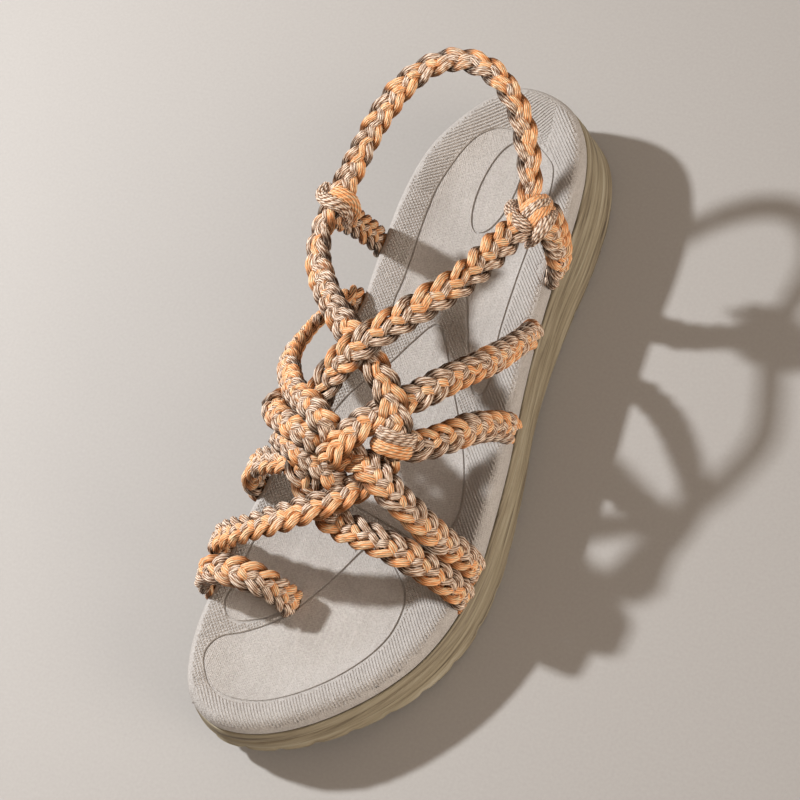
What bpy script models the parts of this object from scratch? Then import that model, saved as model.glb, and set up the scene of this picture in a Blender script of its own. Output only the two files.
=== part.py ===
"""Left sport sandal with a moulded sole unit, a rimmed footbed and a braided strap upper.

Metres, +Z up. The toe points along -Y, the outer side of the foot is at +X, and the floor is z = 0.
The tables are in millimetres and every mesh is scaled to metres when it is made.
"""

import math
from collections import namedtuple

import bmesh
import bpy
from mathutils import Vector

# Driving dimensions, in millimetres
MM = 0.001
LENGTH = 252.0            # heel to toe along the joint between footbed and sole
CENTRE_SHIFT = (0.5, -1.2)  # moves the shoe so that its box is centred on the origin
GAP = 0.5                 # clearance between facets of pieces that touch
HALF_POINTS = 32          # outline points along each side of the foot

RIM_HEIGHT = 7.0          # footbed rim above the joint
BOWL_SHARE = 0.38         # height of the footbed's inner slope, as a share of the way from floor to rim
FOOTBED_THICKNESS = 4.5   # footbed under the foot
LEDGE = 5.0               # flat ledge of the sole that carries the rim
CUP_SLOPE = 2.0           # slope from the ledge down to the cup floor
LIP = 2.2                 # lip of the sole, out from the joint
LIP_DEPTH = 3.6           # bottom of the lip, down from the joint
GROOVE_DEPTH = 1.2        # groove under the lip
INNER_RINGS = (0.33, 0.62)  # rings of the flat middle, as shares of the outline
SPINE_SHARE = 0.72        # length of the middle line that those rings shrink to, as a share of the length
ARCH_RISE = 5.0           # support under the inner arch
ARCH_SHARE = 0.44         # where the arch support is highest
ARCH_REACH = 0.16         # how far it spreads along the length
ARCH_HALF_WIDTH = 32.0    # from the foot's middle line to the full rise

LUG_PITCH = 13.0          # tread lugs along the length
TREAD_GROOVE = 3.0        # width of the groove between two lugs
TREAD_DEPTH = 2.6
TREAD_CUTTER_WIDTH = 140.0
TREAD_CUTTER_HEIGHT = 20.0
TREAD_ROWS = ((112.0, 44.0), (-22.0, -112.0))  # heel tread and forefoot tread, first and last groove in y

STRAP_WIDTH = 10.0
STRAP_THICKNESS = 7.0
STRAP_SIDES = 10
STRAP_STEP = 6.0          # spacing of the strap's sections
LOOP_STEP = 4.8           # the same on the toe loop, which bends more
WRAP_STEP = 3.0           # the same on the short wraps
CURVE_STEPS = 24          # points worked out between two points of a route
ANKLE_Y = 62.0            # behind this the straps turn round the heel
END_GAP = 1.1             # strap end above the sole's ledge
STANDING_LENGTH = 3.0     # stretch of a strap that stands in its notch
NOTCH_SECTIONS = 5        # sections of a strap that its notch follows
NOTCH_DEPTH = 4.0         # how far the notch goes below the strap's end

# One row for each section across the foot, from the heel (0) to the toe (1) as a share of the length:
# inner and outer edge in x, height of the joint, of the footbed floor, of the underside, the last's
# height above the floor, and how far the wall's foot stands out from the joint line.
Section = namedtuple("Section", "share inner outer joint floor ground last flare")
SECTIONS = (
    Section(0.00, 2.0, 2.0, 30.0, 28.0, 4.0, 100.0, 3.2),
    Section(0.02, -10.0, 19.0, 30.0, 28.0, 2.6, 100.0, 3.2),
    Section(0.06, -19.0, 27.5, 29.6, 27.9, 0.8, 100.0, 2.8),
    Section(0.12, -27.0, 32.5, 29.2, 27.7, 0.0, 100.0, 2.2),
    Section(0.20, -30.5, 34.5, 28.5, 27.5, 0.0, 96.0, 1.4),
    Section(0.30, -30.5, 34.7, 27.5, 27.3, 0.0, 85.0, 0.0),
    Section(0.38, -30.0, 36.0, 26.7, 27.0, 1.2, 75.0, -1.0),
    Section(0.46, -31.5, 38.2, 25.8, 26.0, 2.0, 65.0, -1.6),
    Section(0.55, -35.0, 41.2, 24.0, 24.0, 1.0, 55.0, -1.0),
    Section(0.64, -39.5, 42.8, 22.0, 22.3, 0.0, 45.0, 0.0),
    Section(0.70, -42.0, 43.2, 21.0, 21.2, 0.0, 39.0, 0.3),
    Section(0.77, -44.0, 41.0, 20.5, 20.4, 0.0, 32.0, 0.5),
    Section(0.83, -44.8, 35.5, 20.1, 20.2, 1.0, 27.0, 0.5),
    Section(0.88, -44.4, 27.5, 20.6, 20.2, 2.4, 23.0, 0.5),
    Section(0.93, -41.6, 16.0, 21.8, 20.8, 4.6, 20.0, 0.4),
    Section(0.97, -36.2, 3.0, 23.0, 21.6, 6.8, 18.0, 0.4),
    Section(1.00, -21.0, -21.0, 24.0, 22.4, 8.4, 16.0, 0.4),
)

# The pieces' walls, ring by ring: how far a ring stands out from the joint line, how much of the wall's
# flare it takes, and the surface that it follows with its rise over that surface.
Ring = namedtuple("Ring", "outset flare_share surface rise")
SOLE_WALL = (
    Ring(-LEDGE - CUP_SLOPE, 0.0, "cup", 0.0),
    Ring(-LEDGE, 0.0, "joint", 0.0),
    Ring(LIP - 1.2, 0.0, "joint", 0.0),
    Ring(LIP, 0.0, "joint", -1.2),
    Ring(LIP, 0.0, "joint", -LIP_DEPTH),
    Ring(LIP - GROOVE_DEPTH, 0.0, "joint", -LIP_DEPTH - 0.9),
    Ring(LIP - 0.5, 0.0, "joint", -LIP_DEPTH - 2.0),
    Ring(1.0, 0.5, "half_wall", 0.0),
    Ring(1.4, 1.0, "ground", 3.4),
    Ring(0.6, 1.0, "ground", 1.0),
    Ring(-1.6, 1.0, "ground", 0.0),
)
FOOTBED_WALL = (
    Ring(-13.0, 0.0, "floor", 0.0),
    Ring(-8.6, 0.0, "bowl", 0.0),
    Ring(-5.6, 0.0, "rim", -1.3),
    Ring(-3.4, 0.0, "rim", 0.0),
    Ring(-1.2, 0.0, "rim", -1.1),
    Ring(0.0, 0.0, "rim", -3.6),
    Ring(0.0, 0.0, "joint", GAP),
    Ring(-LEDGE - GAP, 0.0, "joint", GAP),
    Ring(-LEDGE - CUP_SLOPE - GAP, 0.0, "cup", GAP),
)

# Each strap's route over the foot, point by point. "edge" ends stand in a notch of the footbed rim.
Strap = namedtuple("Strap", "name route start_edge end_edge")
STRAPS = (
    Strap("outer_front_to_heel", (
        (41.6, -60.5), (41.8, -61.0, 31.0), (37.4, -60.4, 40.6), (30.7, -59.6, 47.6), (23.4, -58.9, 52.6),
        (15.8, -58.5, 56.0), (5.0, -57.0, 58.2), (-4.0, -52.0, 60.5), (-9.5, -46.5, 64.5), (-12.0, -40.0, 68.0),
        (-12.0, -33.5, 71.5), (-9.4, -25.5, 76.0), (-5.5, -16.0, 81.5), (0.5, -9.0, 86.0), (5.5, -4.0, 88.0),
        (13.0, 4.5, 88.3), (21.0, 15.5, 86.5), (27.0, 26.0, 83.5), (30.5, 40.0, 78.0), (32.8, 52.0, 72.5),
        (33.0, 59.0, 70.0)), True, False),
    Strap("slingback", (
        (33.2, 55.5, 68.5), (31.4, 66.0, 73.0), (28.2, 77.5, 79.2), (22.6, 89.0, 85.0), (13.0, 97.2, 89.4),
        (2.0, 99.8, 91.2), (-8.0, 97.0, 91.0), (-16.5, 90.0, 88.6), (-23.5, 78.5, 84.2), (-28.5, 64.5, 78.2),
        (-32.0, 52.5, 73.2), (-34.5, 42.5, 69.5)), False, False),
    Strap("inner_heel_to_front", (
        (-33.6, 48.0, 72.0), (-34.6, 40.0, 71.0), (-33.2, 31.0, 71.0), (-29.0, 22.5, 71.6), (-18.8, 11.0, 76.2),
        (-8.0, 1.5, 80.0), (1.5, -5.5, 82.0), (8.5, -11.0, 81.5), (14.5, -17.5, 77.5), (18.4, -24.5, 72.5),
        (18.0, -32.0, 67.5), (14.5, -39.5, 64.0), (8.0, -47.5, 63.6), (-1.0, -54.5, 62.8), (-10.0, -59.0, 60.2),
        (-19.0, -62.8, 56.8), (-28.5, -65.6, 51.4), (-37.2, -66.8, 44.0), (-42.2, -67.4, 35.5),
        (-42.8, -67.6)), False, True),
    Strap("outer_front_to_inner", (
        (42.2, -50.5), (42.6, -51.0, 34.0), (39.0, -49.5, 42.6), (33.9, -47.5, 50.0), (28.3, -45.0, 56.1),
        (22.0, -41.8, 62.0), (13.0, -37.5, 67.0), (2.5, -38.5, 66.0), (-10.0, -40.0, 63.0), (-19.0, -40.5, 58.0),
        (-28.0, -39.8, 52.0), (-36.5, -40.0, 44.0), (-40.6, -41.5, 35.0), (-40.6, -42.0)), True, True),
    Strap("outer_waist_to_knot", (
        (34.8, 33.2), (36.2, 30.4, 37.5), (37.2, 23.5, 45.5), (35.7, 12.7, 55.4), (32.8, 3.8, 63.5),
        (28.8, -4.0, 69.3), (23.0, -12.0, 72.2), (15.0, -20.0, 73.2), (8.5, -28.5, 74.4), (2.5, -37.0, 71.8),
        (-1.0, -42.5, 68.6), (-2.2, -45.0, 64.5)), True, False),
    Strap("outer_ball_to_knot", (
        (38.4, -1.5), (40.2, -4.0, 37.0), (39.1, -8.1, 46.5), (35.5, -14.8, 56.2), (31.0, -21.8, 61.8),
        (25.5, -27.6, 65.6), (17.0, -30.5, 68.5)), True, False),
    Strap("inner_waist_loop", (
        (-29.2, 31.6), (-31.2, 28.6, 38.0), (-34.2, 20.0, 43.0), (-35.8, 9.5, 49.0), (-35.0, -1.5, 55.0),
        (-31.8, -11.5, 59.0), (-25.6, -20.0, 62.0), (-17.5, -27.0, 67.5), (-9.5, -31.5, 72.5)), True, False),
    Strap("outer_heel_anchor", (
        (34.0, 60.0), (36.0, 61.4, 38.0), (37.6, 63.5, 44.5), (37.0, 64.0, 53.0), (35.0, 61.8, 62.0),
        (32.8, 57.5, 70.8)), True, False),
    Strap("inner_heel_anchor", (
        (-29.5, 55.5), (-31.2, 55.2, 37.5), (-34.0, 53.0, 48.0), (-35.4, 49.5, 59.0), (-34.2, 45.0, 70.8)),
        True, False),
)

# Yarn wrapped around the cords where they meet: barrel from one point to another.
Wrap = namedtuple("Wrap", "name start end width thickness")
WRAPS = (
    Wrap("outer_knot", (18.9, -25.0, 72.0), (17.6, -33.6, 66.8), 15.0, 11.5),
    Wrap("inner_knot", (-9.6, -26.6, 75.4), (-12.6, -37.6, 69.4), 16.0, 12.0),
    Wrap("outer_heel_knot", (33.0, 52.6, 71.8), (32.2, 62.2, 70.8), 14.5, 11.5),
    Wrap("inner_heel_knot", (-34.4, 40.0, 70.8), (-33.4, 50.0, 72.0), 14.5, 11.5),
)

# The toe loop rises over the big toe and goes down through the footbed.
TOE_LOOP = (
    (-43.0, -79.8), (-43.5, -79.4, 31.0), (-40.6, -78.0, 37.0), (-33.0, -76.4, 39.8), (-26.0, -76.2, 38.8),
    (-19.8, -76.9, 34.6), (-16.0, -77.8, 27.5), (-15.2, -78.6, 20.0))
TOE_CENTRE = (-30.0, -77.0, 25.0)

# Colours (linear) and roughness, from the photographed shoe
SOLE_COLOUR = (0.30, 0.25, 0.15, 1.0)
FOOTBED_COLOUR = (0.46, 0.41, 0.36, 1.0)
STRAP_COLOUR = (0.55, 0.29, 0.15, 1.0)


def clear_scene():
    for item in list(bpy.data.objects):
        bpy.data.objects.remove(item)


def collection(name):
    made = bpy.data.collections.new(name)
    bpy.context.scene.collection.children.link(made)
    return made


def material(name, colour, roughness):
    made = bpy.data.materials.new(name)
    made.use_nodes = True
    shader = made.node_tree.nodes["Principled BSDF"]
    shader.inputs["Base Color"].default_value = colour
    shader.inputs["Roughness"].default_value = roughness
    shader.inputs["Metallic"].default_value = 0.0
    return made


# Shape of the foot

def angle_of(share):
    """Even steps of this angle are close together at the toe and the heel, where the outline is round."""
    return math.acos(max(-1.0, min(1.0, 1.0 - 2.0 * share)))


def along(column, share):
    """A column of the section table at any share of the length, as a smooth curve through its rows."""
    angles = [angle_of(row.share) for row in SECTIONS]
    values = [getattr(row, column) for row in SECTIONS]
    angle = angle_of(share)
    last = len(angles) - 2
    k = 0
    while k < last and angle > angles[k + 1]:
        k += 1

    def slope(i):
        low, high = max(i - 1, 0), min(i + 1, len(angles) - 1)
        return (values[high] - values[low]) / (angles[high] - angles[low])

    step = angles[k + 1] - angles[k]
    u = (angle - angles[k]) / step
    return (values[k] * (1 + 2 * u) * (1 - u) ** 2 + slope(k) * step * u * (1 - u) ** 2
            + values[k + 1] * u * u * (3 - 2 * u) + slope(k + 1) * step * u * u * (u - 1))


def share_at(y):
    return max(0.0, min(1.0, 0.5 - y / LENGTH))


def middle(share):
    return (along("inner", share) + along("outer", share)) / 2


def base_outline():
    """Points of the joint line, up the outer side from heel to toe and back along the inner side."""
    shares = [(1 - math.cos(math.pi * k / HALF_POINTS)) / 2 for k in range(HALF_POINTS + 1)]
    outer = [(along("outer", s), LENGTH * (0.5 - s), s) for s in shares]
    inner = [(along("inner", s), LENGTH * (0.5 - s), s) for s in shares[1:-1]]
    return outer + inner[::-1]


def wall_ring(row):
    """The joint line moved out (or in, if negative) and lifted to the row's surface."""
    points = base_outline()
    moved = []
    for k, (x, y, share) in enumerate(points):
        before, after = points[k - 1], points[(k + 1) % len(points)]
        run = Vector((after[0] - before[0], after[1] - before[1])).normalized()
        out = row.outset + row.flare_share * along("flare", share)
        px, py = x - run.y * out, y + run.x * out
        moved.append((px, py, height(row.surface, share, px) + row.rise))
    return moved


def shrunk_ring(scale, surface, rise=0.0):
    """The joint line drawn in towards the foot's middle line."""
    reach = LENGTH / 2 * SPINE_SHARE
    moved = []
    for x, y, share in base_outline():
        centre_y = max(-reach, min(reach, y))
        centre_x = middle(share_at(centre_y))
        px = centre_x + (x - centre_x) * scale
        py = centre_y + (y - centre_y) * scale
        moved.append((px, py, height(surface, share_at(py), px) + rise))
    return moved


def arch(share, x):
    """Rise of the footbed under the inner arch."""
    lengthwise = math.exp(-((share - ARCH_SHARE) / ARCH_REACH) ** 2)
    across = max(0.0, min(1.0, (middle(share) - x) / ARCH_HALF_WIDTH))
    return ARCH_RISE * lengthwise * across ** 2


def joint(share):
    return along("joint", share)


def ground(share):
    return max(0.0, along("ground", share))


def height(surface, share, x):
    """Height of one of the shoe's surfaces at a share of the length and at x."""
    floor = along("floor", share) + arch(share, x)
    rim = joint(share) + RIM_HEIGHT
    return {
        "joint": joint(share),
        "ground": ground(share),
        "half_wall": (joint(share) + ground(share)) / 2,
        "floor": floor,
        "cup": floor - FOOTBED_THICKNESS,
        "rim": rim,
        "bowl": floor + (rim - floor) * BOWL_SHARE,
    }[surface]


# Meshes

def to_object(name, mesh_builder, finish, group):
    mesh = bpy.data.meshes.new(name)
    bmesh.ops.recalc_face_normals(mesh_builder, faces=mesh_builder.faces)
    mesh_builder.to_mesh(mesh)
    mesh_builder.free()
    made = bpy.data.objects.new(name, mesh)
    made.location = (CENTRE_SHIFT[0] * MM, CENTRE_SHIFT[1] * MM, 0.0)
    if finish is not None:
        mesh.materials.append(finish)
    mesh.shade_smooth()
    mesh.set_sharp_from_angle(angle=math.radians(40))
    group.objects.link(made)
    return made


def hide_cutter(made):
    made.hide_render = True
    made.display_type = "WIRE"


def loft(rings):
    """Closed solid through rings of equal point counts; the first and last are closed across."""
    build = bmesh.new()
    rows = [[build.verts.new(Vector(p) * MM) for p in points] for points in rings]
    count = len(rows[0])
    for upper, lower in zip(rows, rows[1:]):
        for k in range(count):
            n = (k + 1) % count
            build.faces.new((upper[k], upper[n], lower[n], lower[k]))
    for row in (rows[0], rows[-1]):
        for k in range(HALF_POINTS):
            corners = [row[k], row[k + 1], row[-k - 1], row[-k % count]]
            build.faces.new(dict.fromkeys(corners))
    return build


def smooth_route(points, step):
    """Evenly spaced points on a smooth curve through the route's own points."""
    knots = [Vector(p) for p in points]
    ends = [knots[0] * 2 - knots[1]] + knots + [knots[-1] * 2 - knots[-2]]
    fine = []
    for a, b, c, d in zip(ends, ends[1:], ends[2:], ends[3:]):
        for i in range(CURVE_STEPS):
            u = i / CURVE_STEPS
            fine.append(0.5 * (2 * b + (c - a) * u + (2 * a - 5 * b + 4 * c - d) * u ** 2
                               + (3 * b - a - 3 * c + d) * u ** 3))
    fine.append(knots[-1])
    lengths = [0.0]
    for a, b in zip(fine, fine[1:]):
        lengths.append(lengths[-1] + (b - a).length)
    pieces = max(2, round(lengths[-1] / step))
    even = []
    k = 0
    for i in range(pieces + 1):
        wanted = lengths[-1] * i / pieces
        while k < len(fine) - 2 and lengths[k + 1] < wanted:
            k += 1
        u = (wanted - lengths[k]) / (lengths[k + 1] - lengths[k])
        even.append(fine[k].lerp(fine[k + 1], u))
    return even


def away_from_foot(point):
    """Outward direction of the last's own section; behind the ankle it turns round the heel."""
    share = share_at(min(point.y, ANKLE_Y))
    half_width = (along("outer", share) - along("inner", share)) / 2
    last = along("last", share)
    back = max(0.0, point.y - ANKLE_Y)
    return Vector(((point.x - middle(share)) / half_width ** 2, back / half_width ** 2,
                   max(0.0, point.z - along("floor", share)) / last ** 2))


def sweep(path, width, thickness, outward):
    """Flat rounded strap along a path, its wide side facing the outward direction."""
    build = bmesh.new()
    rows = []
    for k, point in enumerate(path):
        run = (path[min(k + 1, len(path) - 1)] - path[max(k - 1, 0)]).normalized()
        out = outward(point)
        out = (out - run * out.dot(run)).normalized()
        side = run.cross(out)
        row = []
        for i in range(STRAP_SIDES):
            turn = 2 * math.pi * (i + 0.5) / STRAP_SIDES
            corner = point + side * (math.cos(turn) * width / 2) + out * (math.sin(turn) * thickness / 2)
            row.append(build.verts.new(corner * MM))
        rows.append(row)
    for a, b in zip(rows, rows[1:]):
        for i in range(STRAP_SIDES):
            n = (i + 1) % STRAP_SIDES
            build.faces.new((a[i], a[n], b[n], b[i]))
    build.faces.new(rows[0])
    build.faces.new(rows[-1])
    return build


def standing_end(x, y):
    """End of a strap, straight up from the sole's ledge."""
    foot = joint(share_at(y)) + END_GAP
    return [(x, y, foot), (x, y, foot + STANDING_LENGTH)]


def full_route(points, start_edge, end_edge):
    points = list(points)
    if start_edge:
        points = standing_end(*points[0]) + points[1:]
    if end_edge:
        points = points[:-1] + standing_end(*points[-1])[::-1]
    return points


def boolean(target, tool, operation):
    cut = target.modifiers.new(tool.name, "BOOLEAN")
    cut.operation = operation
    cut.solver = "EXACT"
    cut.object = tool


def notch(name, path, outward, group):
    """Cutter for a strap's notch: the strap's end, a little larger and carried below the rim."""
    below = path[0] + (path[0] - path[1]).normalized() * NOTCH_DEPTH
    end = [below] + path[:NOTCH_SECTIONS]
    cutter = to_object(name, sweep(end, STRAP_WIDTH + 2 * GAP, STRAP_THICKNESS + 2 * GAP, outward), None, group)
    hide_cutter(cutter)
    return cutter


# The pieces

def make_sole(finish, parts, cutters):
    rings = [shrunk_ring(scale, "cup") for scale in INNER_RINGS]
    rings += [wall_ring(row) for row in SOLE_WALL]
    rings += [shrunk_ring(scale, "ground") for scale in INNER_RINGS[::-1]]
    sole = to_object("sole", loft(rings), finish, parts)
    for first, last in TREAD_ROWS:
        steps = round((first - last) / LUG_PITCH)
        for k in range(steps + 1):
            y = first + (last - first) * k / steps
            cutter = tread_groove(f"tread_groove_{y:.0f}", y, cutters)
            boolean(sole, cutter, "DIFFERENCE")


def tread_groove(name, y, group):
    top = ground(share_at(y)) + TREAD_DEPTH
    size = Vector((TREAD_CUTTER_WIDTH, TREAD_GROOVE, TREAD_CUTTER_HEIGHT))
    build = bmesh.new()
    bmesh.ops.create_cube(build, size=1.0)
    bmesh.ops.scale(build, verts=build.verts, vec=size * MM)
    bmesh.ops.translate(build, verts=build.verts, vec=Vector((0.0, y, top - size.z / 2)) * MM)
    cutter = to_object(name, build, None, group)
    hide_cutter(cutter)
    return cutter


def make_footbed(finish, parts, notches):
    rings = [shrunk_ring(scale, "floor") for scale in INNER_RINGS]
    rings += [wall_ring(row) for row in FOOTBED_WALL]
    rings += [shrunk_ring(scale, "cup", GAP) for scale in INNER_RINGS[::-1]]
    footbed = to_object("footbed", loft(rings), finish, parts)
    for cutter in notches:
        boolean(footbed, cutter, "DIFFERENCE")


def make_upper(finish, parts, cutters):
    """All straps and wraps as one joined solid; gives the notch cutters of their ends."""
    upper = None
    notches = []
    for strap in STRAPS:
        path = smooth_route(full_route(strap.route, strap.start_edge, strap.end_edge), STRAP_STEP)
        shape = sweep(path, STRAP_WIDTH, STRAP_THICKNESS, away_from_foot)
        if upper is None:
            upper = to_object("upper_straps", shape, finish, parts)
        else:
            piece = to_object(strap.name, shape, finish, cutters)
            hide_cutter(piece)
            boolean(upper, piece, "UNION")
        if strap.start_edge:
            notches.append(notch(strap.name + "_notch", path, away_from_foot, cutters))
        if strap.end_edge:
            notches.append(notch(strap.name + "_end_notch", path[::-1], away_from_foot, cutters))
    for wrap in WRAPS:
        path = smooth_route((wrap.start, wrap.end), WRAP_STEP)
        piece = to_object(wrap.name, sweep(path, wrap.width, wrap.thickness, away_from_foot), finish, cutters)
        hide_cutter(piece)
        boolean(upper, piece, "UNION")
    return notches


def make_toe_loop(finish, parts, cutters):
    centre = Vector(TOE_CENTRE)

    def outward(point):
        return point - centre

    path = smooth_route(full_route(TOE_LOOP, True, False), LOOP_STEP)
    to_object("toe_loop", sweep(path, STRAP_WIDTH, STRAP_THICKNESS, outward), finish, parts)
    rim_notch = notch("toe_loop_notch", path, outward, cutters)
    floor_hole = notch("toe_loop_hole", path[::-1], outward, cutters)
    return [rim_notch, floor_hole]


def main():
    clear_scene()
    parts = collection("sport_sandal")
    cutters = collection("cutters")
    sole_finish = material("moulded_sole", SOLE_COLOUR, 0.7)
    footbed_finish = material("moulded_footbed", FOOTBED_COLOUR, 0.75)
    braid_finish = material("braided_cord", STRAP_COLOUR, 0.85)
    notches = make_upper(braid_finish, parts, cutters)
    notches += make_toe_loop(braid_finish, parts, cutters)
    make_footbed(footbed_finish, parts, notches)
    make_sole(sole_finish, parts, cutters)


main()
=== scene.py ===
"""Left braided sport sandal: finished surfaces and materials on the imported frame.

The frame is in metres and the tables are in millimetres. The toe points along -Y, the outer side of
the foot is at +X, and the floor is z = 0.
"""

import math
from collections import namedtuple

import bmesh
import bpy
import numpy as np
from mathutils import Matrix, Vector


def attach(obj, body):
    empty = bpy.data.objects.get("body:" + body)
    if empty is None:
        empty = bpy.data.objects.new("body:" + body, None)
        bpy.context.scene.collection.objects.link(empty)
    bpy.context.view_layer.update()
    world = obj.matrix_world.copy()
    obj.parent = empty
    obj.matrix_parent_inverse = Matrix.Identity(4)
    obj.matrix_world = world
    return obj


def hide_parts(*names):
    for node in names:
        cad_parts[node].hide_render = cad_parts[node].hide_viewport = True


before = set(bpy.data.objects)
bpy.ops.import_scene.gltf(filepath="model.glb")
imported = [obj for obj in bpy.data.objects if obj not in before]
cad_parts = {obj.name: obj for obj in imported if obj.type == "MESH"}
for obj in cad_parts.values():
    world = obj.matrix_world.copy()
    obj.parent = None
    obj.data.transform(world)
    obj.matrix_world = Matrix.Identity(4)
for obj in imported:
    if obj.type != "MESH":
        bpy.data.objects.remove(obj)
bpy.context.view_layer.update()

# Sizes of the shoe, in millimetres
MM = 0.001
LENGTH = 252.0            # heel to toe along the joint between footbed and sole
CENTRE_SHIFT = np.array((0.5, -1.2, 0.0))   # moves the shoe so that its box is centred on the origin
GAP = 0.5                 # clearance between footbed and sole
RIM_HEIGHT = 7.0          # footbed rim above the joint
FOOTBED_THICKNESS = 4.5   # footbed under the foot
ARCH_RISE = 5.0           # support under the inner arch
ARCH_SHARE = 0.44         # where the arch support is highest
ARCH_REACH = 0.16         # how far it spreads along the length
ARCH_HALF_WIDTH = 32.0    # from the foot's middle line to the full rise
SPINE_SHARE = 0.72        # length of the middle line that inner rings shrink to, as a share of the length
END_GAP = 1.1             # strap end above the sole's ledge
STANDING_LENGTH = 3.0     # stretch of a strap that stands in its notch
ANKLE_Y = 62.0            # behind this the straps turn round the heel
OUTLINE_HALF = 210        # outline points along each side of the foot
CURVE_STEPS = 24          # points worked out between two points of a route

# Sections from heel to toe: share of the length, inner and outer edge of the joint line, height of the
# joint, of the footbed floor and of the ground edge, height of the last, and flare of the wall
SECTIONS = np.array((
    (0.00, 2.0, 2.0, 30.0, 30.6, 4.0, 100.0, 3.2),
    (0.02, -10.0, 19.0, 30.0, 30.6, 2.6, 100.0, 3.2),
    (0.06, -19.0, 27.5, 29.6, 30.5, 0.8, 100.0, 2.8),
    (0.12, -27.0, 32.5, 29.2, 30.3, 0.0, 100.0, 2.2),
    (0.20, -30.5, 34.5, 28.5, 30.1, 0.0, 96.0, 1.4),
    (0.30, -30.5, 34.7, 27.5, 29.8, 0.0, 85.0, 0.0),
    (0.38, -30.0, 36.0, 26.7, 29.5, 1.2, 75.0, -1.0),
    (0.46, -31.5, 38.2, 25.8, 28.5, 2.0, 65.0, -1.6),
    (0.55, -35.0, 41.2, 24.0, 26.8, 1.0, 55.0, -1.0),
    (0.64, -39.5, 42.8, 22.0, 25.3, 0.0, 45.0, 0.0),
    (0.70, -42.0, 43.2, 21.0, 24.3, 0.0, 39.0, 0.3),
    (0.77, -44.0, 41.0, 20.5, 23.7, 0.0, 32.0, 0.5),
    (0.83, -44.8, 35.5, 20.1, 23.6, 1.0, 27.0, 0.5),
    (0.88, -44.4, 27.5, 20.6, 23.9, 2.4, 23.0, 0.5),
    (0.93, -41.6, 16.0, 21.8, 24.8, 4.6, 20.0, 0.4),
    (0.97, -36.2, 3.0, 23.0, 26.0, 6.8, 18.0, 0.4),
    (1.00, -21.0, -21.0, 24.0, 27.2, 8.4, 16.0, 0.4),
))
COLUMNS = {"inner": 1, "outer": 2, "joint": 3, "floor": 4, "ground": 5, "last": 6, "flare": 7}

# Footbed edge from the joint line inwards: inset, share of the rim's height, and drop below it
EDGE_INSET = np.array((0.0, 0.5, 1.2, 2.2, 3.4, 4.8, 6.5, 9.0, 12.0, 15.5, 19.5, 25.0))
EDGE_LIFT = np.array((1.0, 1.0, 1.0, 1.0, 1.0, 0.965, 0.87, 0.66, 0.42, 0.21, 0.07, 0.0))
EDGE_DROP = np.array((3.6, 2.2, 1.1, 0.3, 0.0, 0.0, 0.0, 0.0, 0.0, 0.0, 0.0, 0.0))

# Straps, as routes of their middle line. A point of two numbers is an end that stands in the rim.
# The tones are the six bundles of the plait in its first and second half, o for orange and b for brown.
Strap = namedtuple("Strap", "name group pitch tones route")
# How far a strap's flat side turns from the foot to a set direction at its two ends, and those directions
UP = (0.0, 0.0, 1.0)
OUTER_SIDE = (0.77, -0.64, 0.0)
FRONT_TOP = (0.37, -0.31, 0.87)
FACES = {
    "outer_front_to_heel": ((0.3, 1.0), (0.5, -0.3, 0.8), (0.3, -0.31, 0.9)),
    "slingback": ((0.85, 0.9), (0.1, 0.0, 1.0), (0.6, -0.35, 0.7)),
    "inner_heel_to_front": ((0.6, 0.6), UP, UP),
    "inner_waist_loop": ((0.45, 0.45), UP, UP),
    "inner_heel_anchor": ((0.4, 0.4), UP, UP),
    "outer_heel_anchor": ((0.0, 1.0), OUTER_SIDE, OUTER_SIDE),
    "inner_knot_turn": ((0.9, 0.9), FRONT_TOP, FRONT_TOP),
    "inner_knot_tail": ((0.9, 0.9), FRONT_TOP, FRONT_TOP),
}
NO_TURN = ((0.0, 0.0), UP, UP)
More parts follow.
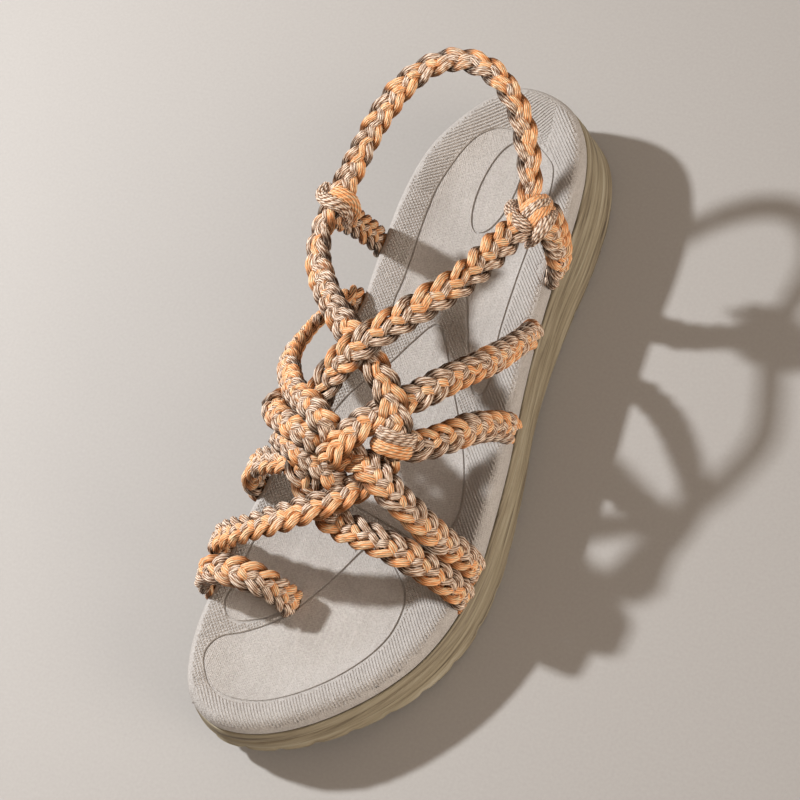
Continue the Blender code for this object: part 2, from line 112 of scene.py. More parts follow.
# Size of a strap's plait beside the others, at its two ends
GIRTH = {"slingback": (0.68, 0.8), "inner_heel_to_front": (0.87, 1.0), "inner_waist_loop": (0.9, 0.84),
         "outer_waist_to_knot": (0.94, 0.94), "inner_heel_anchor": (0.95, 0.95),
         "inner_knot_turn": (0.8, 0.84), "inner_knot_tail": (0.72, 0.66)}
FREE_END = {"outer_waist_to_knot": (7.0, 1.16, 0.8)}    # length of the loose end, its girth and the tip's
TONE = {"o": 0.0, "b": 1.0}
STRAPS = (
    Strap("outer_front_to_heel", "front", (17.5, 24.0), ("obobob", "obobob"), (
        (41.6, -60.5), (41.8, -61.0, 31.0), (37.4, -60.4, 40.6), (30.7, -59.6, 47.6), (23.4, -58.9, 52.6),
        (15.4, -58.2, 55.0), (3.5, -56.1, 55.0), (-5.9, -50.8, 56.5), (-11.0, -45.5, 61.5),
        (-12.5, -40.0, 66.5), (-13.0, -33.5, 68.0), (-11.9, -23.7, 71.0), (-7.0, -14.9, 78.5),
        (0.5, -9.0, 86.0), (5.5, -4.0, 88.0), (13.0, 4.5, 88.3), (21.0, 15.5, 86.5), (27.0, 26.0, 83.5),
        (30.5, 40.0, 78.0), (32.8, 52.0, 72.5), (33.0, 59.0, 70.0))),
    Strap("slingback", "back", (27.0, 18.0), ("bobobo", "oboboo"), (
        (33.6, 56.0, 68.5), (32.3, 66.4, 72.8), (28.8, 77.8, 79.1), (22.6, 89.0, 85.0), (13.0, 97.2, 89.4),
        (2.0, 99.8, 91.2), (-8.0, 97.0, 91.0), (-16.5, 90.0, 88.6), (-23.5, 78.5, 84.2),
        (-28.5, 64.5, 78.2), (-32.0, 52.5, 73.2), (-34.5, 42.5, 69.5))),
    Strap("inner_heel_to_front", "back", (22.0, 18.0), ("obbobb", "obobob"), (
        (-33.6, 48.0, 72.0), (-34.6, 40.0, 71.0), (-33.2, 31.0, 71.0), (-29.0, 22.5, 71.6),
        (-18.8, 11.0, 76.2), (-8.0, 1.5, 80.0), (1.5, -5.5, 82.0), (8.5, -11.0, 81.5), (14.5, -17.5, 77.5),
        (18.4, -24.5, 72.5), (17.6, -31.7, 66.5), (13.4, -38.7, 61.5), (6.6, -46.5, 60.5),
        (-1.4, -54.3, 62.0), (-10.0, -59.0, 60.2), (-19.0, -62.8, 56.8), (-28.5, -65.6, 51.4),
        (-37.6, -66.8, 44.2), (-43.6, -67.4, 36.0), (-45.0, -67.6))),
    Strap("outer_front_to_inner", "side", (16.5, 17.0), ("obobob", "obobob"), (
        (42.2, -50.5), (42.6, -51.0, 34.0), (39.3, -50.9, 41.5), (36.0, -50.6, 48.0), (32.4, -49.6, 54.5),
        (27.8, -47.5, 60.0), (22.5, -45.3, 64.5), (16.8, -42.0, 67.5), (9.7, -38.3, 68.5),
        (2.5, -37.5, 66.5), (-10.0, -40.0, 63.0), (-19.0, -40.5, 58.0), (-28.0, -39.8, 52.0),
        (-36.8, -40.0, 44.2), (-41.6, -41.5, 35.6), (-42.3, -42.0))),
    Strap("outer_waist_to_knot", "side", (16.5, 17.0), ("obobob", "obobob"), (
        (34.8, 33.2), (36.2, 30.4, 37.5), (37.2, 23.5, 45.5), (35.7, 12.7, 55.4), (32.8, 3.8, 63.5),
        (28.8, -4.0, 69.3), (23.0, -12.0, 72.2), (15.0, -20.0, 73.2), (8.5, -28.5, 75.4),
        (2.5, -37.0, 74.0), (-0.6, -42.0, 72.0))),
    Strap("outer_ball_to_knot", "side", (16.5, 17.0), ("bobobo", "bobobo"), (
        (38.4, -1.5), (40.2, -4.0, 37.0), (39.1, -8.1, 46.5), (35.5, -14.8, 56.2), (31.0, -21.8, 61.8),
        (25.5, -27.6, 65.6), (17.0, -30.5, 68.5))),
    Strap("inner_waist_loop", "side", (16.5, 17.0), ("obobob", "bbobob"), (
        (-31.6, 31.6), (-32.8, 28.8, 38.0), (-34.6, 20.0, 43.4), (-35.8, 9.5, 49.0), (-35.0, -1.5, 55.0),
        (-32.0, -8.5, 60.0), (-27.8, -14.2, 64.0), (-20.4, -21.3, 71.0), (-10.6, -26.9, 77.0),
        (-3.8, -31.3, 77.0), (-1.0, -32.7, 72.5))),
    Strap("outer_heel_anchor", "front", (16.0, 17.0), ("bobobo", "bobobo"), (
        (34.4, 56.6), (37.9, 55.1, 38.0), (39.8, 56.1, 44.5), (40.7, 57.6, 52.5), (40.8, 58.5, 60.5),
        (39.7, 60.0, 66.5), (37.5, 62.3, 69.5))),
    Strap("inner_heel_anchor", "front", (16.0, 17.0), ("obobob", "obobob"), (
        (-32.0, 55.5), (-33.0, 55.2, 37.5), (-34.6, 53.0, 48.0), (-35.4, 49.5, 59.0), (-34.2, 45.0, 70.8))),
    Strap("inner_knot_turn", "front", (14.0, 14.0), ("oboboo", "oboboo"), (
        (-24.7, -19.8, 60.0), (-26.3, -22.7, 64.0), (-26.9, -27.1, 68.0), (-22.3, -31.4, 72.0),
        (-15.1, -34.4, 75.0), (-9.1, -35.9, 75.0), (-5.5, -36.4, 71.0), (-5.8, -35.2, 64.0))),
    Strap("inner_knot_tail", "front", (13.0, 13.0), ("bbbobb", "bbobbb"), (
        (-24.2, -34.1, 63.0), (-18.1, -38.2, 67.5), (-11.2, -41.1, 69.5), (-6.5, -42.6, 68.0),
        (-2.1, -44.0, 66.0), (1.2, -44.9, 63.0), (2.5, -44.4, 58.0))),
    Strap("toe_loop", "toe", (17.0, 17.0), ("obobob", "obobob"), (
        (-45.4, -79.8), (-45.2, -79.8, 31.5), (-40.4, -79.3, 40.2), (-30.8, -78.6, 44.3),
        (-23.6, -78.4, 43.4), (-17.8, -78.5, 38.2), (-14.9, -78.6, 29.0), (-15.2, -78.6, 20.0))),
)
TOE_CENTRE = np.array((-30.0, -77.0, 25.0))

# Knots: bands of yarn wound round the straps where they meet. The outer knot is two rings, each with its
# place along the knot, girth and tone. A fold is a band that follows its own route.
KNOT_START, KNOT_END = np.array((18.9, -25.0, 72.0)), np.array((17.6, -33.6, 66.8))
KNOT_HALF = (6.2, 4.6)        # half width and half thickness of the rings
KNOT_RINGS = ((-2.2, 1.0, "b"), (2.2, 0.92, "o"))
Fold = namedtuple("Fold", "name girth tone route")
FOLD_FACE = np.array(((0.25, -0.2, 0.95),))     # way that the flat side of a fold looks
FOLDS = (
    Fold("inner_heel_brown", 0.98, "b", (
        (-38.4, 54.4, 71.0), (-38.3, 48.9, 74.0), (-33.0, 45.7, 76.5), (-29.2, 45.6, 74.5),
        (-28.4, 45.1, 70.0), (-31.6, 45.3, 63.0))),
    Fold("inner_heel_orange", 0.9, "o", (
        (-35.1, 51.3, 74.5), (-29.8, 49.7, 76.5), (-26.8, 49.1, 73.5), (-27.2, 48.3, 68.0),
        (-30.8, 48.5, 60.0))),
    Fold("outer_heel_orange", 0.95, "o", (
        (31.5, 53.9, 62.0), (35.4, 52.4, 70.0), (38.9, 53.8, 75.0), (40.4, 57.3, 76.0), (39.7, 61.4, 73.0),
        (37.5, 64.8, 68.0), (32.7, 67.5, 60.0))),
    Fold("outer_heel_cream", 0.36, "o", (
        (28.3, 60.3, 64.0), (31.7, 58.2, 71.0), (35.7, 58.6, 76.0), (37.8, 61.1, 76.0), (37.0, 64.4, 72.0),
        (33.1, 68.1, 64.0))),
    Fold("outer_heel_upper", 0.42, "b", (
        (29.6, 58.3, 64.0), (33.4, 56.1, 72.0), (37.5, 57.3, 76.5), (39.0, 60.9, 75.5), (37.8, 64.4, 71.0),
        (33.8, 67.9, 63.0))),
    Fold("outer_heel_lower", 0.55, "b", (
        (34.5, 51.6, 63.0), (38.5, 49.8, 70.0), (41.7, 50.7, 74.5), (43.2, 54.5, 75.5), (42.2, 58.9, 72.0),
        (39.5, 62.8, 66.0), (35.7, 64.9, 60.0))),
    Fold("outer_heel_left", 0.75, "b", (
        (26.2, 65.0, 63.0), (26.6, 62.0, 68.0), (28.0, 58.3, 72.0), (31.5, 53.9, 75.0), (35.3, 51.6, 76.0),
        (37.2, 51.5, 74.0), (35.8, 53.9, 67.0))),
)

# Smooth pads of the footbed, each inside one engraved line, and the plain oval at the heel
PADS = {
    "forefoot": (
        (3.0, -53.5), (-2.8, -64.0), (-8.4, -73.3), (-14.2, -81.6), (-20.9, -88.0), (-28.0, -93.0),
        (-33.6, -96.3), (-36.0, -100.5), (-35.6, -106.0), (-30.3, -113.3), (-24.8, -115.7), (-17.8, -115.9),
        (-9.5, -113.9), (-2.2, -110.0), (4.6, -105.0), (11.0, -99.0), (17.0, -91.7), (21.0, -85.0),
        (23.2, -78.7), (23.8, -71.2), (22.8, -66.0), (19.7, -61.0), (14.0, -55.5), (8.5, -52.0)),
    "big_toe": (
        (-36.8, -77.9), (-37.7, -83.6), (-36.0, -87.6), (-33.3, -89.5), (-29.6, -89.4), (-22.0, -85.5),
        (-16.5, -81.2), (-12.2, -77.8), (-8.4, -73.3), (-2.8, -64.0), (1.0, -57.0), (-4.0, -51.0),
        (-14.0, -48.0), (-24.0, -47.0), (-33.0, -53.0), (-36.0, -64.0)),
    "ball": (
        (-0.7, 30.0), (5.0, 24.2), (13.0, 10.0), (19.0, -0.5), (24.0, -10.0), (29.0, -22.0), (31.3, -34.5),
        (28.0, -43.0), (20.0, -46.5), (10.0, -44.0), (-2.0, -41.0), (-14.0, -38.0), (-24.0, -34.0),
        (-26.5, -24.0), (-24.0, -10.0), (-18.5, 2.0), (-11.5, 12.0), (-6.7, 21.3)),
    "heel": (
        (-17.8, 34.0), (-16.2, 28.4), (-13.2, 26.6), (-9.5, 29.0), (-6.5, 35.0), (-3.0, 41.0), (1.5, 44.0),
        (6.2, 42.5), (10.0, 34.0), (13.9, 24.0), (17.5, 15.5), (21.0, 9.0), (24.5, 8.0), (26.0, 13.0),
        (25.0, 22.0), (23.4, 31.7), (22.6, 48.0), (22.4, 65.0), (23.2, 76.0), (23.3, 86.0), (21.5, 95.5),
        (18.0, 100.5), (8.6, 107.2), (-2.4, 109.0), (-9.2, 105.6), (-14.4, 97.4), (-18.2, 83.6),
        (-18.9, 72.4), (-18.5, 58.6), (-17.7, 43.6)),
}
OVAL_CENTRE = (2.7, 86.3)
OVAL_HALF = (6.8, 18.8)
OVAL_LEAN = math.radians(3.0)


# Shape of the foot

def unit(vectors):
    return vectors / np.linalg.norm(vectors, axis=-1, keepdims=True)


def hermite(knots, values, wanted):
    """Smooth curve through the values at the knots."""
    knots = np.asarray(knots, float)
    values = np.asarray(values, float)
    wanted = np.clip(np.asarray(wanted, float), knots[0], knots[-1])
    last = len(knots) - 1
    index = np.arange(last + 1)
    low = np.maximum(index - 1, 0)
    high = np.minimum(index + 1, last)
    slopes = (values[high] - values[low]) / (knots[high] - knots[low])
    k = np.clip(np.searchsorted(knots, wanted, side="right") - 1, 0, last - 1)
    step = knots[k + 1] - knots[k]
    u = (wanted - knots[k]) / step
    return (values[k] * (1 + 2 * u) * (1 - u) ** 2 + slopes[k] * step * u * (1 - u) ** 2
            + values[k + 1] * u * u * (3 - 2 * u) + slopes[k + 1] * step * u * u * (u - 1))


def angle_of(share):
    return np.arccos(np.clip(1 - 2 * np.asarray(share, float), -1, 1))


def along(column, share):
    return hermite(angle_of(SECTIONS[:, 0]), SECTIONS[:, COLUMNS[column]], angle_of(share))


def share_at(y):
    return np.clip(0.5 - np.asarray(y, float) / LENGTH, 0, 1)


def middle(share):
    return (along("inner", share) + along("outer", share)) / 2


def ground_at(share):
    return np.maximum(0.0, along("ground", share))


def floor_height(flat):
    """Top of the footbed away from its edge."""
    share = share_at(flat[:, 1])
    lengthwise = np.exp(-((share - ARCH_SHARE) / ARCH_REACH) ** 2)
    across = np.clip((middle(share) - flat[:, 0]) / ARCH_HALF_WIDTH, 0, 1)
    return along("floor", share) + ARCH_RISE * lengthwise * across ** 2


def outline():
    """Joint line from the heel along the outer side to the toe and back along the inner side."""
    turn = np.pi * np.arange(OUTLINE_HALF + 1) / OUTLINE_HALF
    share = (1 - np.cos(turn)) / 2
    x = np.concatenate((along("outer", share), along("inner", share[1:-1])[::-1]))
    share = np.concatenate((share, share[1:-1][::-1]))
    y = LENGTH * (0.5 - share)
    run = unit(np.stack((np.roll(x, -1) - np.roll(x, 1), np.roll(y, -1) - np.roll(y, 1)), axis=1))
    return np.stack((x, y), axis=1), np.stack((-run[:, 1], run[:, 0]), axis=1), share


EDGE, EDGE_OUT, EDGE_SHARE = outline()


def footbed_height(points, inset, share):
    """Top of the footbed at points that lie a distance in from the joint line."""
    floor = floor_height(points)
    rim = along("joint", share) + RIM_HEIGHT
    lift = hermite(EDGE_INSET, EDGE_LIFT, inset)
    return floor + (rim - floor) * lift - hermite(EDGE_INSET, EDGE_DROP, inset)


def footbed_ring(inset):
    flat = EDGE - EDGE_OUT * inset
    return np.column_stack((flat, footbed_height(flat, inset, EDGE_SHARE)))


def shrunk_flat(scale):
    """The joint line drawn in towards the foot's middle line."""
    reach = LENGTH / 2 * SPINE_SHARE
    centre_y = np.clip(EDGE[:, 1], -reach, reach)
    centre = np.column_stack((middle(share_at(centre_y)), centre_y))
    return centre + (EDGE - centre) * scale


def smooth_route(points, step, closed=False):
    """Evenly spaced points on a smooth curve through the route's own points."""
    knots = np.asarray(points, float)
    if closed:
        ends = np.vstack((knots[-1:], knots, knots[:2]))
    else:
        ends = np.vstack((knots[:1] * 2 - knots[1:2], knots, knots[-1:] * 2 - knots[-2:-1]))
    u = np.linspace(0, 1, CURVE_STEPS, endpoint=False)[:, None]
    fine = []
    for a, b, c, d in zip(ends, ends[1:], ends[2:], ends[3:]):
        fine.append(0.5 * (2 * b + (c - a) * u + (2 * a - 5 * b + 4 * c - d) * u ** 2
                           + (3 * b - a - 3 * c + d) * u ** 3))
    fine.append(ends[-2:-1])
    fine = np.vstack(fine)
    lengths = np.concatenate(([0.0], np.cumsum(np.linalg.norm(np.diff(fine, axis=0), axis=1))))
    pieces = max(2, round(lengths[-1] / step))
    wanted = np.linspace(0, lengths[-1], pieces + 1)
    if closed:
        wanted = wanted[:-1]
    even = np.stack([np.interp(wanted, lengths, fine[:, k]) for k in range(fine.shape[1])], axis=1)
    return even, wanted


def away_from_foot(points):
    """Outward direction of the last's own section; behind the ankle it turns round the heel."""
    y = points[:, 1]
    share = share_at(np.minimum(y, ANKLE_Y))
    half_width = (along("outer", share) - along("inner", share)) / 2
    back = np.maximum(0.0, y - ANKLE_Y)
    up = np.maximum(0.0, points[:, 2] - along("floor", share))
    return np.stack(((points[:, 0] - middle(share)) / half_width ** 2, back / half_width ** 2,
                     up / along("last", share) ** 2), axis=1)


def strap_route(strap, step):
    """Points, outward directions and lengths along a strap."""
    points = list(strap.route)

    def standing_end(x, y):
        foot = float(along("joint", share_at(y))) + END_GAP
        return [(x, y, foot), (x, y, foot + STANDING_LENGTH)]

    if len(points[0]) == 2:
        points = standing_end(*points[0]) + points[1:]
    if len(points[-1]) == 2:
        points = points[:-1] + standing_end(*points[-1])[::-1]
    path, lengths = smooth_route(points, step)
    outward = unit(path - TOE_CENTRE if strap.group == "toe" else away_from_foot(path))
    amounts, first, last = FACES.get(strap.name, NO_TURN)
    share = (lengths / lengths[-1])[:, None]
    turned = amounts[0] * (1 - share) + amounts[1] * share
    outward = outward * (1 - turned) + (np.array(first) * (1 - share) + np.array(last) * share) * turned
    run = unit(np.gradient(path, axis=0))
    return path, unit(outward - run * np.sum(outward * run, axis=1)[:, None]), lengths


# Objects

SHARP_ANGLE = math.radians(38.0)


def to_frame(points):
    return (np.asarray(points, float) + CENTRE_SHIFT) * MM


def add_object(name, mesh, finish=None):
    made = bpy.data.objects.new(name, mesh)
    bpy.context.scene.collection.objects.link(made)
    if finish is not None:
        mesh.materials.clear()
        mesh.materials.append(finish)
    return made


def mesh_from(name, points, faces=(), edges=()):
    mesh = bpy.data.meshes.new(name)
    mesh.from_pydata(to_frame(points).tolist(), [tuple(map(int, e)) for e in edges],
                     [tuple(map(int, f)) for f in faces])
    mesh.update()
    return mesh


def store(mesh, name, values):
    """Keeps a number or a vector for each vertex."""
    values = np.asarray(values, np.float32)
    kind, key = ("FLOAT_VECTOR", "vector") if values.ndim == 2 else ("FLOAT", "value")
    mesh.attributes.new(name, kind, "POINT").data.foreach_set(key, values.ravel())


def stored(mesh, name):
    attribute = mesh.attributes[name]
    width, key = (3, "vector") if attribute.data_type == "FLOAT_VECTOR" else (1, "value")
    values = np.empty(len(attribute.data) * width, np.float32)
    attribute.data.foreach_get(key, values)
    return values.reshape(-1, 3) if width == 3 else values


def wall_faces(rings, count):
    """Quads between each ring of points and the next."""
    faces = []
    for r in range(rings - 1):
        for k in range(count):
            n = (k + 1) % count
            faces.append((r * count + k, r * count + n, (r + 1) * count + n, (r + 1) * count + k))
    return faces


def lofted(name, rings):
    """Closed mesh through rings of equal count, with the first and last closed across the foot."""
    count = len(rings[0])
    faces = wall_faces(len(rings), count)
    for start in (0, (len(rings) - 1) * count):
        for k in range(count // 2):
            corners = [start + k, start + k + 1, start + (count - k - 1) % count, start + (-k) % count]
            faces.append(tuple(dict.fromkeys(corners)))
    return outward_faces(mesh_from(name, np.vstack(rings), faces))


def outward_faces(mesh):
    build = bmesh.new()
    build.from_mesh(mesh)
    bmesh.ops.recalc_face_normals(build, faces=build.faces)
    build.to_mesh(mesh)
    build.free()
    return mesh


def plain_mesh(made, finish=None):
    """The evaluated object as a plain mesh object; the one with modifiers goes."""
    name = made.name
    bpy.context.view_layer.update()
    view = bpy.context.evaluated_depsgraph_get()
    mesh = bpy.data.meshes.new_from_object(made.evaluated_get(view))
    bpy.data.objects.remove(made)
    mesh.name = name
    return add_object(name, mesh, finish)


def carved(name, mesh, tools, finish):
    """The mesh as an object with the tools' shapes taken out of it. The tools are removed."""
    made = add_object(name, mesh)
    for tool in tools:
        cut = made.modifiers.new(tool.name, "BOOLEAN")
        cut.operation = "DIFFERENCE"
        cut.solver = "EXACT"
        cut.object = tool
    made = plain_mesh(made, finish)
    for tool in tools:
        bpy.data.objects.remove(tool)
    made.data.shade_smooth()
    made.data.set_sharp_from_angle(angle=SHARP_ANGLE)
    return made


# Nodes

class Wire:
    """Output of a node. Arithmetic with it adds Math nodes to its tree."""

    def __init__(self, tree, socket):
        self.tree = tree
        self.socket = socket

    def math(self, operation, *others):
        return math_wire(self.tree, operation, self, *others)

    def __add__(self, other):
        return self.math("ADD", other)

    def __sub__(self, other):
        return self.math("SUBTRACT", other)

    def __rsub__(self, other):
        return math_wire(self.tree, "SUBTRACT", other, self)

    def __mul__(self, other):
        return self.math("MULTIPLY", other)

    def __truediv__(self, other):
        return self.math("DIVIDE", other)


def connect(made, wires):
    """Sets a node's inputs: a wire is linked and anything else is a constant."""
    for key, value in wires.items():
        if isinstance(value, Wire):
            value.tree.links.new(value.socket, made.inputs[key])
        else:
            made.inputs[key].default_value = value


def add(tree, kind, wires=None, **settings):
    made = tree.nodes.new(kind)
    for name, value in settings.items():
        setattr(made, name, value)
    connect(made, wires or {})
    return made


def wire(tree, kind, wires=None, output=0, **settings):
    return Wire(tree, add(tree, kind, wires, **settings).outputs[output])


def math_wire(tree, operation, *values):
    return wire(tree, "ShaderNodeMath", dict(enumerate(values)), operation=operation)


def vector_wire(tree, operation, *values):
    output = "Value" if operation == "DOT_PRODUCT" else "Vector"
    return wire(tree, "ShaderNodeVectorMath", dict(enumerate(values)), output, operation=operation)


def scaled(vector, factor):
    inputs = {0: vector, "Scale": factor}
    return wire(vector.tree, "ShaderNodeVectorMath", inputs, "Vector", operation="SCALE")


def combined(tree, *values):
    return wire(tree, "ShaderNodeCombineXYZ", dict(enumerate(values)))


def noise(tree, vector, scale, detail, **more):
    return wire(tree, "ShaderNodeTexNoise", {"Vector": vector, "Scale": scale, "Detail": detail, **more})


def named(tree, name, kind="FLOAT"):
    return wire(tree, "GeometryNodeInputNamedAttribute", {"Name": name}, "Attribute", data_type=kind)


def keep(geometry, name, value, domain="POINT"):
    """Stores a number on the geometry under a name."""
    return wire(geometry.tree, "GeometryNodeStoreNamedAttribute",
                {"Geometry": geometry, "Name": name, "Value": value}, data_type="FLOAT", domain=domain)


def upright_curve(curve, normal):
    return wire(curve.tree, "GeometryNodeSetCurveNormal", {"Curve": curve, "Normal": normal}, mode="FREE")


def circle_of(tree, points, radius):
    return wire(tree, "GeometryNodeCurvePrimitiveCircle", {"Resolution": points, "Radius": radius})


def tube(curve, profile, caps=True):
    sockets = {"Curve": curve, "Profile Curve": profile, "Fill Caps": caps}
    return wire(curve.tree, "GeometryNodeCurveToMesh", sockets)


def new_tree(name, kind, inputs, outputs):
    """Node tree with named sockets; gives the tree and its inputs as wires."""
    tree = bpy.data.node_groups.new(name, kind + "NodeTree")
    for way, sockets in (("OUTPUT", outputs), ("INPUT", inputs)):
        for label, socket in sockets.items():
            tree.interface.new_socket(label, in_out=way, socket_type="NodeSocket" + socket)
    given = tree.nodes.new("NodeGroupInput").outputs
    return tree, {label: Wire(tree, given[label]) for label in inputs}


def geometry_tree(name, values):
    """Geometry tree with an input for each of the values."""
    inputs = {label: "Int" if isinstance(value, int) else "Float" for label, value in values.items()}
    return new_tree(name, "Geometry", {"Geometry": "Geometry", **inputs}, {"Geometry": "Geometry"})


def finish_tree(geometry, finish, smooth=False):
    tree = geometry.tree
    done = wire(tree, "GeometryNodeRealizeInstances", {"Geometry": geometry})
    if smooth:
        done = wire(tree, "GeometryNodeSetShadeSmooth", {"Geometry": done})
    done = wire(tree, "GeometryNodeSetMaterial", {"Geometry": done, "Material": finish})
    add(tree, "NodeGroupOutput", {"Geometry": done})
    return tree


def grown(name, mesh, tree, values, finish=None):
    """Plain object that the tree makes of the mesh, with the values as the tree's inputs."""
    made = add_object(name, mesh)
    modifier = made.modifiers.new(tree.name, "NODES")
    modifier.node_group = tree
    for item in tree.interface.items_tree:
        if item.in_out == "INPUT" and item.name in values:
            modifier[item.identifier] = values[item.name]
    return plain_mesh(made, finish)


# Braided yarn

YARNS = 12
POINTS_PER_YARN = 3
BUNDLE_SIZES = {"Yarns": YARNS, "Points per Yarn": POINTS_PER_YARN, "Yarn Depth": 0.15,
                "Unevenness": 0.75 * MM}
LUMPS_PER_METRE = 620.0
BUNDLES_PER_PLAIT = 6
EDGE_STAY = -0.06             # how long a strand keeps to the plait's edge before it crosses
WOBBLES_PER_METRE = 160.0
BUNDLE_WOBBLE = 3.7           # steps through the noise from bundle to bundle and from seed to seed
SEED_WOBBLE = 7.3
STRAP_PHASE = 0.37            # turns by which each strap's plait starts after the one before
BACK_FACE = (-0.65, -0.35)    # facing at which a bundle's side counts as the plait's back and as its front
LINE_STEP = 1.0               # spacing of the points on a strap's line
FREE_END_BULGE = 0.3          # where a loose end is widest, as a share of its length from the tip
PLAIT = {"Step": 0.95 * MM, "Half Spread": 2.4 * MM, "Half Depth": 1.4 * MM, "Width": 3.15 * MM,
         "Thickness": 2.65 * MM, "Twist": 16.0, "Looseness": 0.5 * MM, "Seed": 3}


def yarn_bundle_group():
    """Tube of parallel yarns along each curve, lying on the stored outward direction."""
    tree, given = geometry_tree("yarn_bundle", {**BUNDLE_SIZES, "Width": 0.0, "Thickness": 0.0, "Twist": 0.0})
    tangent = wire(tree, "GeometryNodeInputTangent")
    outward = named(tree, "outward", "FLOAT_VECTOR")
    lean = scaled(tangent, vector_wire(tree, "DOT_PRODUCT", outward, tangent))
    upright = vector_wire(tree, "NORMALIZE", vector_wire(tree, "SUBTRACT", outward, lean))
    curve = upright_curve(given["Geometry"], upright)
    tilt = named(tree, "along") * (given["Twist"] * math.tau)
    curve = wire(tree, "GeometryNodeSetCurveTilt", {"Curve": curve, "Tilt": tilt})
    curve = wire(tree, "GeometryNodeSetCurveRadius", {"Curve": curve, "Radius": named(tree, "girth")})

    count = given["Yarns"] * given["Points per Yarn"]
    circle = circle_of(tree, count, 1.0)
    turn = wire(tree, "GeometryNodeInputIndex") / given["Points per Yarn"]
    ridge = (turn * math.pi).math("SINE").math("ABSOLUTE")
    reach = (ridge - 1.0) * given["Yarn Depth"] + 1.0
    half = combined(tree, given["Thickness"] * 0.5 * reach, given["Width"] * 0.5 * reach)
    place = vector_wire(tree, "MULTIPLY", wire(tree, "GeometryNodeInputPosition"), half)
    # the ridge is kept for the painted shade between the yarns
    ridged = keep(circle, "ridge", ridge)
    profile = wire(tree, "GeometryNodeSetPosition", {"Geometry": ridged, "Position": place})
    lumps = wire(tree, "ShaderNodeTexNoise", {"Scale": LUMPS_PER_METRE, "Detail": 1.0})
    swell = scaled(wire(tree, "GeometryNodeInputNormal"), (lumps - 0.5) * given["Unevenness"])
    puffed = wire(tree, "GeometryNodeSetPosition", {"Geometry": tube(curve, profile), "Offset": swell})
    add(tree, "NodeGroupOutput", {"Geometry": puffed})
    return tree


BUNDLE = yarn_bundle_group()


def even_curve(tree, given):
    """The object's lines as curves with evenly spaced points."""
    curve = wire(tree, "GeometryNodeMeshToCurve", {"Mesh": given["Geometry"]})
    return wire(tree, "GeometryNodeResampleCurve", {"Curve": curve, "Length": given["Step"]}, mode="LENGTH")


def finish_bundles(curve, given, finish):
    inputs = {label: given[label] for label in ("Width", "Thickness", "Twist")}
    inputs.update(BUNDLE_SIZES, Geometry=curve)
    bundle = wire(curve.tree, "GeometryNodeGroup", inputs, node_tree=BUNDLE)
    return finish_tree(bundle, finish, smooth=True)


def plait_tree(finish):
    """Flat plait of three strands, each of two bundles of yarn, along every strap line."""
    tree, given = geometry_tree("plait", PLAIT)
    copies = add(tree, "GeometryNodeDuplicateElements", {
        "Geometry": even_curve(tree, given), "Amount": BUNDLES_PER_PLAIT}, domain="SPLINE").outputs
    curve = keep(Wire(tree, copies[0]), "bundle_no", Wire(tree, copies["Duplicate Index"]), "CURVE")

    number, girth = named(tree, "bundle_no"), named(tree, "girth")
    strand = ((number + 0.25) / 2.0).math("FLOOR")
    beside = number - strand * 2.0 - 0.5
    half_spread = given["Half Spread"] * girth
    angle = (named(tree, "phase") + strand / 3.0) * math.tau
    third = angle * 3.0
    sway = third.math("SINE") * EDGE_STAY + angle.math("SINE")
    swing = third.math("COSINE") * (3 * EDGE_STAY) + angle.math("COSINE")
    over = (angle * 2.0).math("SINE")
    lean = swing * half_spread * (named(tree, "rate") * math.tau)
    shift = beside * given["Width"] * girth / (lean * lean + 1.0).math("SQRT")

    where = combined(tree, named(tree, "along") * WOBBLES_PER_METRE, number * BUNDLE_WOBBLE,
                     named(tree, "strap_no") + given["Seed"] * SEED_WOBBLE)
    wobble = wire(tree, "ShaderNodeTexNoise", {"Vector": where, "Scale": 1.0, "Detail": 1.0}, "Color")
    offset = scaled(vector_wire(tree, "SUBTRACT", wobble, (0.5, 0.5, 0.5)), given["Looseness"])
    tangent = wire(tree, "GeometryNodeInputTangent")
    outward = named(tree, "outward", "FLOAT_VECTOR")
    side = vector_wire(tree, "NORMALIZE", vector_wire(tree, "CROSS_PRODUCT", tangent, outward))
    for way, distance in ((side, sway * half_spread + shift), (outward, over * (given["Half Depth"] * girth)),
                          (tangent, shift * lean * -1.0)):
        offset = vector_wire(tree, "ADD", offset, scaled(way, distance))
    # how raised a strand lies; the yarn's painted shade and highlight follow it
    curve = keep(curve, "raised", over)
    moved = wire(tree, "GeometryNodeSetPosition", {"Geometry": curve, "Offset": offset})
    return finish_bundles(moved, given, finish)


def yarn_coordinates(mesh):
    """UV map of a tube mesh: metres along the yarn, and turns round the bundle."""
    sides = YARNS * POINTS_PER_YARN
    total = np.empty(len(mesh.polygons), int)
    mesh.polygons.foreach_get("loop_total", total)
    start = np.empty(len(mesh.polygons), int)
    mesh.polygons.foreach_get("loop_start", start)
    corner = np.empty(len(mesh.loops), int)
    mesh.loops.foreach_get("vertex_index", corner)
    coordinates = np.zeros((len(mesh.loops), 2), np.float32)
    coordinates[:, 0] = stored(mesh, "along")[corner]
    walls = start[total == 4]
    column = np.arange(len(walls)) % sides
    for k in range(4):
        turn = corner[walls + k] % sides
        turn = np.where((column == sides - 1) & (turn == 0), sides, turn)
        coordinates[walls + k, 1] = turn / sides
    made = mesh.uv_layers.new(name="yarn_uv")
    made.data.foreach_set("uv", coordinates.ravel())


def turn_back_face(mesh):
    """On the back of a plait the strands that lie low in front are the raised ones, for the painted shade and
    highlight.
    """
    normals = np.empty((len(mesh.vertices), 3), np.float32)
    mesh.vertex_normals.foreach_get("vector", normals.ravel())
    facing = np.sum(normals * stored(mesh, "outward"), axis=1)
    raised = stored(mesh, "raised") * np.interp(facing, BACK_FACE, (-1.0, 1.0))
    mesh.attributes["raised"].data.foreach_set("value", raised.astype(np.float32))


